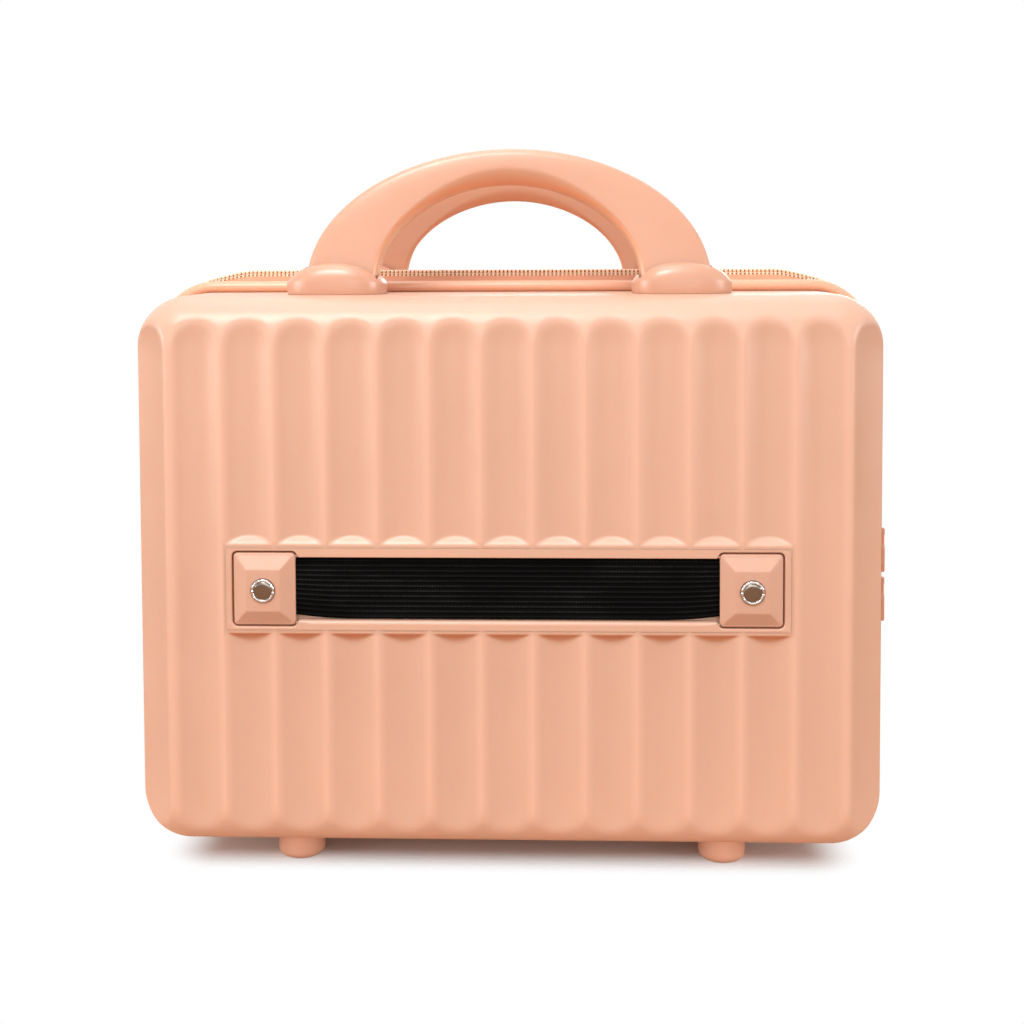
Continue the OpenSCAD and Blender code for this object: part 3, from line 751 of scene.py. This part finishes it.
def tooth(width, height, depth, bevel):
    """A small block with chamfered edges: x along the path, y outward, z in depth."""
    w, h, d = width / 2, height / 2, depth / 2
    bm = bmesh.new()
    for s in itertools.product((-1, 1), repeat=3):
        for corner in ((w - bevel, h - bevel, d), (w - bevel, h, d - bevel), (w, h - bevel, d - bevel)):
            bm.verts.new([a * b for a, b in zip(s, corner)])
    bmesh.ops.convex_hull(bm, input=bm.verts)
    bmesh.ops.dissolve_limit(bm, angle_limit=0.02, verts=bm.verts, edges=bm.edges)
    bm.verts.index_update()
    mesh = np.array([v.co[:] for v in bm.verts]), [tuple(v.index for v in f.verts) for f in bm.faces]
    bm.free()
    return mesh


def tooth_row(shift):
    """Each tooth is a knob on a stem, on a bar along the tape, with a stop at both ends.
    The row can be shifted by a share of the pitch, so that two rows mesh."""
    knob, stem, stop = tooth(1.12, 1.45, 2.1, 0.22), tooth(0.95, 1.35, 1.9, 0.2), tooth(2.6, 3.2, 3.0, 0.5)
    stations = zip_path(TEETH_PITCH, ZIP_LOW + 0.5, TEETH_TOP)
    stations = stations[:-1] * (1 - shift) + stations[1:] * shift
    parts = []
    for i, s in enumerate(stations):
        d = s[2:] / np.hypot(*s[2:])
        t = np.array([d[1], -d[0]])
        sink = zip_sink(*s) / 6 * 0.7
        shapes = [(knob, TEETH_TOP - 0.75, 1.75, sink), (stem, TEETH_TOP - 2.4, 1.9, sink)]
        if i in (0, len(stations) - 1):
            shapes.append((stop, TEETH_TOP - 1.7, 1.55, 0))
        for (v, f), out, depth, sunk in shapes:
            xy = s[:2] + d * (EDGE_R + out - sunk * out) + v[:, :1] * t + v[:, 1:2] * d
            parts.append((np.column_stack([xy, v[:, 2] + depth]), f))
    bar = [(TEETH_TOP + x, d) for x, d in ((-1.75, 0.7), (-1.45, 0.7), (-1.45, 2.74), (-1.75, 2.74))]
    parts.append(sweep(zip_path(PATH_STEP, ZIP_LOW + 0.5), bar, sink=True))
    return join_parts(parts)


def make_zip():
    """On each half a cloth, a core strip whose deep colour is painted shade in the gap, and a row of teeth."""
    line = [(TAPE_IN, 18), (TAPE_IN, 6.4), (TAPE_IN + 0.6, 5.6), (TAPE_IN + 1.6, 5.35), (3.2, 5.35),
            (4.2, 5.0), (5.2, 4.1), (TEETH_TOP - 2.9, 2.4), (TEETH_TOP - 2.0, 1.7)]
    core = [(TEETH_TOP + x, d) for x, d in ((-2.6, 0.02), (-0.4, 0.02), (-0.4, 0.6), (-1.9, 0.75), (-2.6, 2.2))]
    path = zip_path(PATH_STEP, ZIP_LOW)
    for side, shift in (("back", 0.0), ("front", 0.5)):
        cloth = half_piece(side, "zip_cloth", sweep(path, thicken(line, TAPE_HALF), sink=True), "tape", "zip_tape",
                           sharp=60)
        # the core strip's deep colour is painted shade in the gap
        half_piece(side, "zip_gap_shade", sweep(path, core, sink=True), "core", sharp=60)
        half_piece(side, "zip_tooth_row", tooth_row(shift), "teeth", "zip_teeth", sharp=50, weld=False)


def make_hinge():
    """Cloth round the bottom: one strip that stays where it is built, and its ends, which part at the corners."""
    half = [(TAPE_IN, 18), (TAPE_IN, 6.0), (TAPE_IN + 0.5, 5.2), (-1.6, 3.4), (0.2, 1.6), (0.9, 0.6)]
    line = thicken(half + [(1.0, 0.0)] + [(x, -d) for x, d in half[::-1]], HINGE_HALF)
    strip = build("hinge_strip", on_half(sweep(bottom_path(4.0), line), -1), "tape", None,
                  ("back_hinge_tape", "front_hinge_tape"), sharp=60)
    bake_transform(strip)
    edge = thicken(half + [(0.95, 0.05)], HINGE_HALF)
    mesh = join_parts([sweep(corner_path(hand), edge) for hand in (-1, 1)])
    for side in SIDES:
        ends = half_piece(side, "corner_tape", mesh, "tape", sharp=60)


# ---- strap, blocks and bolts
def ring_rect(hw, hh, r, z=0.0):
    """Counter-clockwise rounded rectangle, with points along its sides too."""
    signs = ((1, 1), (-1, 1), (-1, -1), (1, -1))
    corners = [arc(sx * (hw - r), sy * (hh - r), r, 90 * k, 90 * k + 90, 6) for k, (sx, sy) in enumerate(signs)]
    points = []
    for k, corner in enumerate(corners):
        side = np.linspace(corner[-1], corners[(k + 1) % 4][0], (12, 14)[k % 2])
        points += [*corner, *side[1:-1]]
    return np.array([(x, y, z) for x, y in points])


def block_rings():
    """A block from its foot up: wall, rounded edge, four slopes, and the rim of its flat face."""
    hw, hh, r, e = BLOCK_W / 2, BLOCK_H / 2, 1.6, 0.75
    face_w, face_h = 6.8, 8.35
    rings = [ring_rect(hw, hh, r, FLOOR_D + 0.1), ring_rect(hw, hh, r, HALF_D - e)]
    over_strap = (rings[0][:, 0] < -hw + 0.01) & (np.abs(rings[0][:, 1]) < STRAP_W / 2 + 0.2)
    rings[0][over_strap, 2] = STRAP_FRONT + 0.15
    for a in np.radians([22, 45, 68, 90]):
        k = e * (1 - math.cos(a))
        rings.append(ring_rect(hw - k, hh - k, r - k * 0.8, HALF_D - e + e * math.sin(a)))
    rings.append(ring_rect(hw - 0.95, hh - 0.95, 0.85, HALF_D + 0.06))
    low = np.array([hw - 1.05, hh - 1.05, 0.8, HALF_D + 0.1])
    high = np.array([face_w + 0.1, face_h + 0.1, 0.45, BLOCK_TOP - 0.1])
    rings += [ring_rect(*(low + (high - low) * t)) for t in (0.02, 0.5, 0.985)]
    rings.append(ring_rect(face_w - 0.1, face_h - 0.1, 0.4, BLOCK_TOP - 0.02))
    rings.append(ring_rect(face_w - 0.45, face_h - 0.45, 0.35, BLOCK_TOP))
    return rings


def make_blocks():
    """Strap blocks: bevelled, with a round sink for the bolt, and hollowed over the strap's end."""
    rings, hole_r = block_rings(), 5.0
    hole = circle(hole_r, 40)
    sink = [(hole_r, BLOCK_TOP), (4.92, BLOCK_TOP - 0.1), (4.9, BLOCK_TOP - 0.9), (0.05, BLOCK_TOP - 0.9)]
    centre = rings[0] * (0.9, 0.9, 0) + (0, 0, STRAP_FRONT + 0.15)
    verts, faces = join_parts([tube(rings), flat_fill(BLOCK_TOP, rings[-1][:, :2], hole), turned(sink, 40, 0, 0),
                               tube([rings[0], centre, centre * (0.02, 0.02, 1)])])
    for hand, sx in HANDS.items():
        mesh = verts * (sx, 1, 1) + (sx * BLOCK_X, STRAP_Y, 0), faces
        build(f"strap_block_cover_{hand}", on_half(mesh, -1), "block", "back_half", (f"strap_block_{hand}",), sharp=32)


def make_bolts():
    """Strap bolts: a notched chrome ring round a darker polished disc, on a plain shank."""
    n, top, foot = 96, BLOCK_TOP + 0.8, FLOOR_D - 4.6
    a = 2 * math.pi * np.arange(n) / n
    notch = 0.34 * np.maximum(0.0, np.cos(a * 10 + 0.6)) ** 14
    ring = [(3.7, 0.14), (3.82, 0.03), (4.1, 0), (4.42, 0.06), (4.6, 0.25)]
    ring = [(3.68, top - 0.42)] + [(r, top - z - notch) for r, z in ring]
    ring += [(4.64, top - 0.55), (4.62, top - 1.6), (2.0, top - 1.75), (2.0, foot), (0.05, foot)]
    disc = ((3.7, 0.42), (3.58, 0.4), (3.44, 0.26), (3.3, 0.2), (2.4, 0.12), (1.2, 0.08), (0.02, 0.07))
    disc = [(r, top - z) for r, z in disc]
    for name, profile, count, look, node, sharp in (("bolt_rings", ring, n, "chrome", ("strap_bolts",), 50),
                                                    ("bolt_discs", disc, 48, "disc", (), 40)):
        mesh = join_parts([turned(profile, count, sign * BLOCK_X, STRAP_Y) for sign in (-1, 1)])
        build(name, on_half(mesh, -1), look, "back_half", node, sharp=sharp)


def make_strap():
    """Elastic band: cords side by side, pulled in at its lower edge beside each block."""
    end = [np.linspace(-BLOCK_X - 8, -BLOCK_X + 9, 10), np.linspace(-BLOCK_X + 10, -BLOCK_X + 40, 30)]
    xs = np.concatenate([*end, np.linspace(-BLOCK_X + 42, BLOCK_X - 42, 60), *(-x[::-1] for x in end[::-1])])
    v = np.arange(STRAP_CORDS * 10 + 1) / (STRAP_CORDS * 10)
    front = STRAP_FRONT - 0.62 + 0.2 * (1 - (2 * v - 1) ** 4) + 0.4 * np.sin(math.pi * v * STRAP_CORDS) ** 6
    up, depth = np.append(v, [1.0, 0.5, 0.0]), np.append(front, [STRAP_FRONT - 1.7] * 3)
    rings = []
    for x in xs:
        pull = np.clip((abs(x) - (BLOCK_X - 36)) / 25, 0, 1) ** 2.2
        low, high = -STRAP_W / 2 + 1.8 * pull, STRAP_W / 2 - 0.25 * pull
        rings.append(np.column_stack([np.full(len(up), x), STRAP_Y + low + (high - low) * up, depth]))
    band = build("elastic_band", on_half(tube(rings, ends=True), -1), "elastic", "back_half", ("luggage_strap",),
                 sharp=80)


# ---- caps, handles and feet
def cap_solid():
    """Cap arched along its length, with an upright wall and a rounded shoulder."""
    a = 2 * math.pi * np.arange(72) / 72
    u, v = (np.copysign(np.abs(w) ** (2 / 2.9), w) for w in (np.cos(a), np.sin(a)))

    def plan(scale, z=None):
        if z is None:
            arch = np.sqrt(np.maximum(1 - (scale * u) ** 2, 0) * max(1 - scale ** 6, 0))
            z = CAP_WALL_H + (CAP_H - CAP_WALL_H) * arch
        return np.column_stack([CAP_W / 2 * scale * u, CAP_D / 2 * scale * v, z + 0 * u])

    wall = ((0.02, 0.06), (0.972, 0.06), (0.985, 0.12), (0.99, 0.4), (1.0, 1.8), (1.0, 3.2))
    return tube([plan(*w) for w in wall] + [plan(math.cos(k / 30 * math.pi / 2)) for k in range(30)] + [plan(0.002)])


def cut_box(obj, lo, hi):
    """Cuts a box out of a mesh with an exact boolean."""
    bm = bmesh.new()
    bmesh.ops.create_cube(bm, size=1)
    for v in bm.verts:
        v.co = Vector([(lo[k] + hi[k]) / 2 + v.co[k] * (hi[k] - lo[k]) for k in range(3)]) * MM
    mesh = bpy.data.meshes.new("cutter")
    bm.to_mesh(mesh)
    bm.free()
    cutter = add_object("cutter", mesh)
    mod = obj.modifiers.new("slot", "BOOLEAN")
    mod.operation, mod.solver, mod.object = "DIFFERENCE", "EXACT", cutter
    bpy.context.view_layer.update()
    done = bpy.data.meshes.new_from_object(obj.evaluated_get(bpy.context.evaluated_depsgraph_get()))
    obj.modifiers.clear()
    old, obj.data = obj.data, done
    bpy.data.objects.remove(cutter)
    for gone in (old, mesh):
        bpy.data.meshes.remove(gone)
    smooth(done, 40)


def make_caps():
    slot_d = HANDLE_T / math.cos(HANDLE_LEAN) + 2 * (CAP_H - 5) * math.sin(HANDLE_LEAN) + 1.2
    verts, faces = cap_solid()
    for side, sy in SIDES.items():
        for hand, sx in HANDS.items():
            y = sy * HANDLE_Y
            obj = build(f"{side}_cap_dome_{hand}", (verts + (sx * CAP_X, y, TOP), faces), "cap", None,
                        (f"{side}_cap_{hand}",))
            x0, x1 = sorted((sx * CAP_SLOT[side], sx * (HANDLE_A + 0.15)))
            cut_box(obj, (x0, y - slot_d / 2, TOP - 2), (x1, y + slot_d / 2, TOP + CAP_H + 5))
            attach(obj, f"{side}_half")


def grip_section(w, arch):
    """Closed section of a handle w wide: a share of w, from the gap outward, and a depth."""
    t, r_out, r_in = HANDLE_T / 2, 2.6, 1.8 + 5.2 * arch
    mid = w - r_out - r_in
    bead = [(a, k / 10) for k, a in enumerate(np.radians(np.linspace(0, 90, 11)))]
    points = arc(w - r_out, r_out - t, r_out, -90, 0, 6)
    points += [(w, -t + r_out + (HANDLE_T - 2 * r_out) * k / 5) for k in range(1, 5)]
    points += arc(w - r_out, t - r_out, r_out, 0, 90, 6)
    points += [(w - r_out - mid * k / 8, t) for k in range(1, 8)]
    points += [(r_in * (0.75 * (1 - math.sin(a)) + 0.25 * (1 - k)), t - r_in + r_in * math.cos(a)) for a, k in bead]
    points += [(r_in * (0.75 * (1 - math.cos(a)) + 0.25 * k), -t + r_in - r_in * math.sin(a)) for a, k in bead]
    points += [(r_in + mid * k / 8, -t) for k in range(1, 8)]
    u, d = np.array(points).T
    crown = 0.8 * (2 * u / w - 1) ** 2 * np.where(d < 0, 1, -1) * (np.abs(d) / t) ** 2
    return u / w, d + crown


def handle_mesh(in_a, in_b):
    """Arched handle on two legs that thin into the caps: a soft outer edge, a bead along the gap."""
    legs = [(HANDLE_A * 0.997, z, in_a - 0.2, z, thin, 0.0)
            for z, thin in ((-7.35, 0.25), (-7.0, 0.45), (-6.2, 0.68), (-5.2, 0.86), (-4.3, 0.96))]
    rows = list(legs)
    for a in np.linspace(0, math.pi, 97):
        c, s = math.cos(a), math.sin(a)
        rows.append((HANDLE_A * c + 1.1 * s ** 2, ARCH_Z + HANDLE_B * s + 0.6 * s ** 4, in_a * c, ARCH_Z + in_b * s,
                     1.0, s ** 6))
    rows += [(-ox, oz, -ix, iz, thin, arch) for ox, oz, ix, iz, thin, arch in legs[::-1]]
    rings = []
    for ox, oz, ix, iz, thin, arch in rows:
        # the crest's small shift and rise aren't part of the gap's ellipse
        share, depth = grip_section(math.hypot(ox - ix, oz - iz), arch)
        rings.append(np.column_stack([ix + (ox - ix) * share, depth * thin, iz + (oz - iz) * share]))
    return tube(rings, ends=True)


def make_handles():
    c, s = math.cos(HANDLE_LEAN), math.sin(HANDLE_LEAN)
    for side, sy in SIDES.items():
        verts, faces = handle_mesh(*HANDLE_GAP[side])
        x, y, z = verts.T
        verts = np.column_stack([x, -sy * (y * c + z * s - HANDLE_Y), -y * s + z * c + HANDLE_Z])
        build(f"{side}_handle_grip", (verts, faces), "handle", f"{side}_handle", (f"{side}_handle",), sharp=60)


def make_pins():
    profile = ((0.05, 58.0), (PIN_R - 0.3, 58.0), (PIN_R, 58.3), (PIN_R, 84.4), (PIN_R - 0.3, 84.7), (0.05, 84.7))
    for side, sy in SIDES.items():
        pins = [turned([(r, sx * x) for r, x in profile], 32, sy * HANDLE_Y, HANDLE_Z) for sx in (-1, 1)]
        verts, faces = join_parts(pins)
        build(f"{side}_hinge_pins", (verts[:, [2, 0, 1]], faces), "steel", f"{side}_half", (f"{side}_handle_pins",))


def make_feet():
    soft = 3.2
    for side in SIDES:
        for hand in HANDS:
            node = f"{side}_foot_{hand}"
            _, hi, mid, size = box_mm(node)
            r, h = size[0] / 2, hi[2]
            profile = [(0.05, 1.6), (2.6, 1.6), (2.9, 1.4), (3.0, 0.5), (3.3, 0.12), (4.0, 0.0)]
            profile += arc(r - soft, soft, soft, -90, 0, 8)
            profile += [(r, 4.5), (r - 0.15, 8.5), (r - 0.25, h - 1.2), (r - 0.2, h - 0.3), (r - 0.45, h), (0.05, h)]
            build(f"{node}_pad", turned(profile, 56, mid[0], mid[1]), "foot", f"{side}_half", (node,), sharp=50)


# ---- lining, sliders and pulls
def lining_mesh():
    """Cloth-covered tray: a lip over the rim, walls, a rounded edge, and a faintly uneven face."""
    r = EDGE_R - LINING_OFF
    xs, ys = np.linspace(-CORE_W, CORE_W, 87), np.linspace(-CORE_H, CORE_H, 61)
    loop = outline(xs, ys, 12)
    out = EDGE_R - WALL - 0.3
    profile = [(out, 18.7), (out, 19.4), (r + 1.2, 19.4), (r + 0.1, 19.2), (r, 18.9), (r, 18.5),
               (r, 8.2), (r - 0.1, 7.0), (r - 0.4, 6.4), (r - 0.7, 6.4), (r - 0.95, 7.0)]
    profile += [(r - 1, z) for z in np.linspace(8, LINING_FACE - r, 14)]
    profile += arc(0, LINING_FACE - r, r - 1, 0, 90, 9)[1:]
    walls = grid(*around(loop, np.array(profile)), True)
    x, y = np.meshgrid(xs, ys)
    soft = np.clip(np.minimum(CORE_W - np.abs(x), CORE_H - np.abs(y)) / 12, 0, 1)
    waves = np.sin(x / 17 + 0.6 * np.sin(y / 23)) * np.cos(y / 19 + 0.4 * np.sin(x / 29))
    return join_parts([walls, grid(x, y, LINING_FACE - 1 - 0.35 * soft * waves)])


def make_linings():
    for side in SIDES:
        cloth = half_piece(side, "lining_cloth", lining_mesh(), "lining", "lining", sharp=55)


def rounded_box(lo, hi, bevel):
    """A box with chamfered edges."""
    lo, hi = np.array(lo), np.array(hi)
    verts, faces = tooth(*(hi - lo), bevel)
    return verts + (lo + hi) / 2, faces


def plate_outline(z0, z1, half):
    """Rounded plate outline in (y, z)."""
    hh = (z1 - z0) / 2
    return ring_rect(half, hh, min(half, hh) * 0.62)[:, :2] + (0, z0 + hh)


def extrude_x(plan, x0, x1, bevel):
    """A plate with rounded edges from an outline in (y, z)."""
    c = plan.mean(axis=0)
    size = np.abs(plan - c).max(axis=0)
    steps = ((0, 1), (0.4, 0.35), (1, 0))
    steps = [(x0 + bevel * x, k) for x, k in steps] + [(x1 - bevel * x, k) for x, k in steps[::-1]]
    return tube([np.column_stack([np.full(len(plan), x), c + (plan - c) * (1 - k * bevel / size)])
                 for x, k in steps], ends=True)


def ring_tab(plan, z0, px):
    """Pull tab plate with a round hole near its lower end, and its points joined."""
    half = 0.6
    hole = circle(1.6, 32, 0, z0 + 4)
    flat, tris = fill_between(plan, hole)
    parts = [([(x, y, z) for y, z in flat], tris) for x in (px - half, px + half)]
    parts += [tube([[(x, y, z) for y, z in loop] for x in (px - half, px + half)]) for loop in (plan, hole)]
    verts, faces = join_parts(parts)
    verts, index = np.unique(np.round(verts, 4), axis=0, return_inverse=True)
    index = index.ravel()
    return verts, [tuple(int(index[i]) for i in f) for f in faces]


def slider_mesh(lo, hi, axis_z):
    """Plates over and under the teeth, a side wall, a neck between them, and two lugs for the pull."""
    inner, plate = lo[0], CASE_W / 2 + TEETH_TOP + 0.35
    parts = [extrude_x(plate_outline(lo[2], hi[2], 4.0), plate, plate + 1.4, 0.35),
             extrude_x(plate_outline(lo[2], hi[2], 2.3), inner, inner + 1.2, 0.3),
             rounded_box((plate - 1.7, -4.0, lo[2] + 1), (plate + 0.4, -3.35, hi[2] - 1), 0.2),
             rounded_box((inner + 0.4, -0.24, lo[2] + 2), (plate + 0.4, 0.24, hi[2] - 2), 0.1)]
    parts += [rounded_box((plate + 1.2, y - 0.35, axis_z - 1.6), (plate + 3.6, y + 0.35, axis_z + 1.6), 0.3)
              for y in (-0.85, 0.85)]
    return join_parts(parts)


def pull_mesh(px, low, axis_z):
    """A pin, two arms and a tab with a hole."""
    parts = [rounded_box((px - 0.55, -3.2, axis_z - 0.55), (px + 0.55, 3.2, axis_z + 0.55), 0.25)]
    parts += [rounded_box((px - 0.6, y - 0.75, axis_z - 6.2), (px + 0.6, y + 0.75, axis_z + 0.5), 0.3)
              for y in (-2.5, 2.5)]
    return join_parts(parts + [ring_tab(plate_outline(low, axis_z - 4.4, 4.0), low, px)])


def make_sliders():
    for which in ("upper", "lower"):
        lo, hi, _, _ = box_mm(f"zip_slider_{which}")
        pull_lo, pull_hi, pull_mid, _ = box_mm(f"zip_pull_{which}")
        axis_z = pull_hi[2] - 0.6
        build(f"slider_{which}_body", slider_mesh(lo, hi, axis_z), "zip_metal", f"slider_{which}",
              (f"zip_slider_{which}",), sharp=35, weld=False)
        build(f"pull_{which}_tab", pull_mesh(pull_mid[0], pull_lo[2], axis_z), "zip_metal", f"pull_{which}",
              (f"zip_pull_{which}",), sharp=35, weld=False)


def dress_cad_nodes():
    steel = LOOKS["steel"][1].owner
    for node in ["strap_nuts", *(f"{side}_{part}" for side in SIDES for part in STEEL_PARTS)]:
        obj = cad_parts[node]
        if not obj.material_slots:
            obj.data.materials.append(steel)
        for slot in obj.material_slots:
            slot.material = steel


# ---- floor, light and camera
def floor_material():
    """The camera sees the floor near the case, with its shadow, and the white world elsewhere."""
    n = material("pale_floor")
    n.set(Base_Color=FLOOR, Roughness=0.9, Specular_IOR_Level=0.1)
    x, y, _ = n.split(n.coord())
    out = [n.math("MAXIMUM", n.math("SUBTRACT", n.off(v), half), 0)
           for v, half in ((x, FLOOR_SHADE[0]), (y, FLOOR_SHADE[1]))]
    away = n.math("SQRT", n.math("ADD", *(n.mul(v, v) for v in out)))
    fade = n.ramp(away, 0.0, FLOOR_SHADE[2], interpolation_type="SMOOTHSTEP")
    clear = n.add("BsdfTransparent", {})
    bounce = n.add("BsdfDiffuse", {"Color": n.mix(n.ramp(away, 0.04, 0.15), FLOOR_NEAR, FLOOR_FAR)})
    seen = n.mix_shader(fade, n.main.outputs[0], clear)
    above = n.mix_shader(n.add("LightPath", {}, "Is Camera Ray"), bounce, seen)
    surface = n.mix_shader(n.add("NewGeometry", {}, "Backfacing"), above, clear)
    n.put(n.tree.nodes["Material Output"].inputs["Surface"], surface)
    return n.owner


def make_stage():
    mesh = bpy.data.meshes.new("floor")
    corners = [(x * FLOOR_SIZE, y * FLOOR_SIZE, 0) for x, y in ((-1, -1), (1, -1), (1, 1), (-1, 1))]
    mesh.from_pydata(corners, [], [(0, 1, 2, 3)])
    mesh.materials.append(floor_material())
    add_object("floor", mesh)


# name, place, target and size in metres, and power in watts
LIGHTS = (
    ("key", (-0.25, -0.8, 1.22), (0, -0.05, 0.15), (0.5, 0.5), 11.6),
    ("top_softbox", (-0.1, -0.05, 1.4), (0, -0.02, 0.2), (1.0, 0.5), 3.6),
    ("rear_top", (0.0, 0.75, 1.25), (0, 0, 0.2), (1.2, 0.7), 2.4),
    ("front_left", (-1.55, -0.75, 0.42), (0, 0, 0.1), (0.8, 0.4), 10.6),
    ("front_right", (1.55, -0.7, 0.42), (0, 0, 0.1), (0.8, 0.4), 9.8),
    ("front_soft", (0.1, -1.65, 0.36), (0, 0, 0.06), (1.0, 0.4), 2.6),
    ("rear_soft", (0.35, 1.6, 0.5), (0, 0, 0.1), (1.0, 0.5), 6.5),
)
WORLD_DIFFUSE, WORLD_SEEN = 0.62, 1.0


def make_light():
    for name, place, target, size, power in LIGHTS:
        data = bpy.data.lights.new(name, "AREA")
        data.shape = "RECTANGLE"
        data.size, data.size_y = size
        data.energy = power
        obj = add_object(name, data)
        obj.location = place
        obj.rotation_euler = (Vector(target) - Vector(place)).to_track_quat("-Z", "Y").to_euler()
    world = bpy.data.worlds.new("studio")
    bpy.context.scene.world = world
    n = Nodes(world)
    rays = [n.add("LightPath", {}, f"Is {kind} Ray") for kind in ("Camera", "Glossy", "Transmission")]
    seen = n.math("MAXIMUM", n.math("MAXIMUM", *rays[:2]), rays[2])
    n.set(Color=(1, 1, 1, 1), Strength=n.ramp(seen, 0.0, 1.0, WORLD_DIFFUSE, WORLD_SEEN))


def make_camera():
    """Fitted to named points of the photo: focal length and horizon row in pixels of a 1024 image."""
    image, sensor, focal, horizon = 1024, 36.0, 1430.0, 319.6
    place = Vector((22.8, -628.8, 252.8)) * MM
    yaw, pitch, tilt = 0.0363, 0.0481, -0.0042
    forward = Vector((-math.sin(yaw) * math.cos(pitch), math.cos(yaw) * math.cos(pitch), -math.sin(pitch)))
    level = Vector((math.cos(yaw), math.sin(yaw), 0))
    up = level.cross(forward)
    right = level * math.cos(tilt) + up * math.sin(tilt)
    up = -level * math.sin(tilt) + up * math.cos(tilt)
    data = bpy.data.cameras.new("camera")
    data.sensor_fit = "HORIZONTAL"
    data.sensor_width = sensor
    data.lens = focal * sensor / image
    data.shift_y = (horizon - image / 2) / image
    data.clip_start = 0.01
    data.clip_end = 50
    m = Matrix((right, up, -forward)).transposed().to_4x4()
    m.translation = place
    cam = add_object("camera", data)
    cam.matrix_world = m
    bpy.context.scene.camera = cam
    bpy.context.scene.view_settings.view_transform = "Standard"


for make in (make_camera, make_light, make_stage, make_shells, make_piping, make_zip, make_hinge, make_blocks,
             make_bolts, make_strap, make_caps, make_handles, make_pins, make_feet, make_linings, make_sliders,
             dress_cad_nodes):
    make()
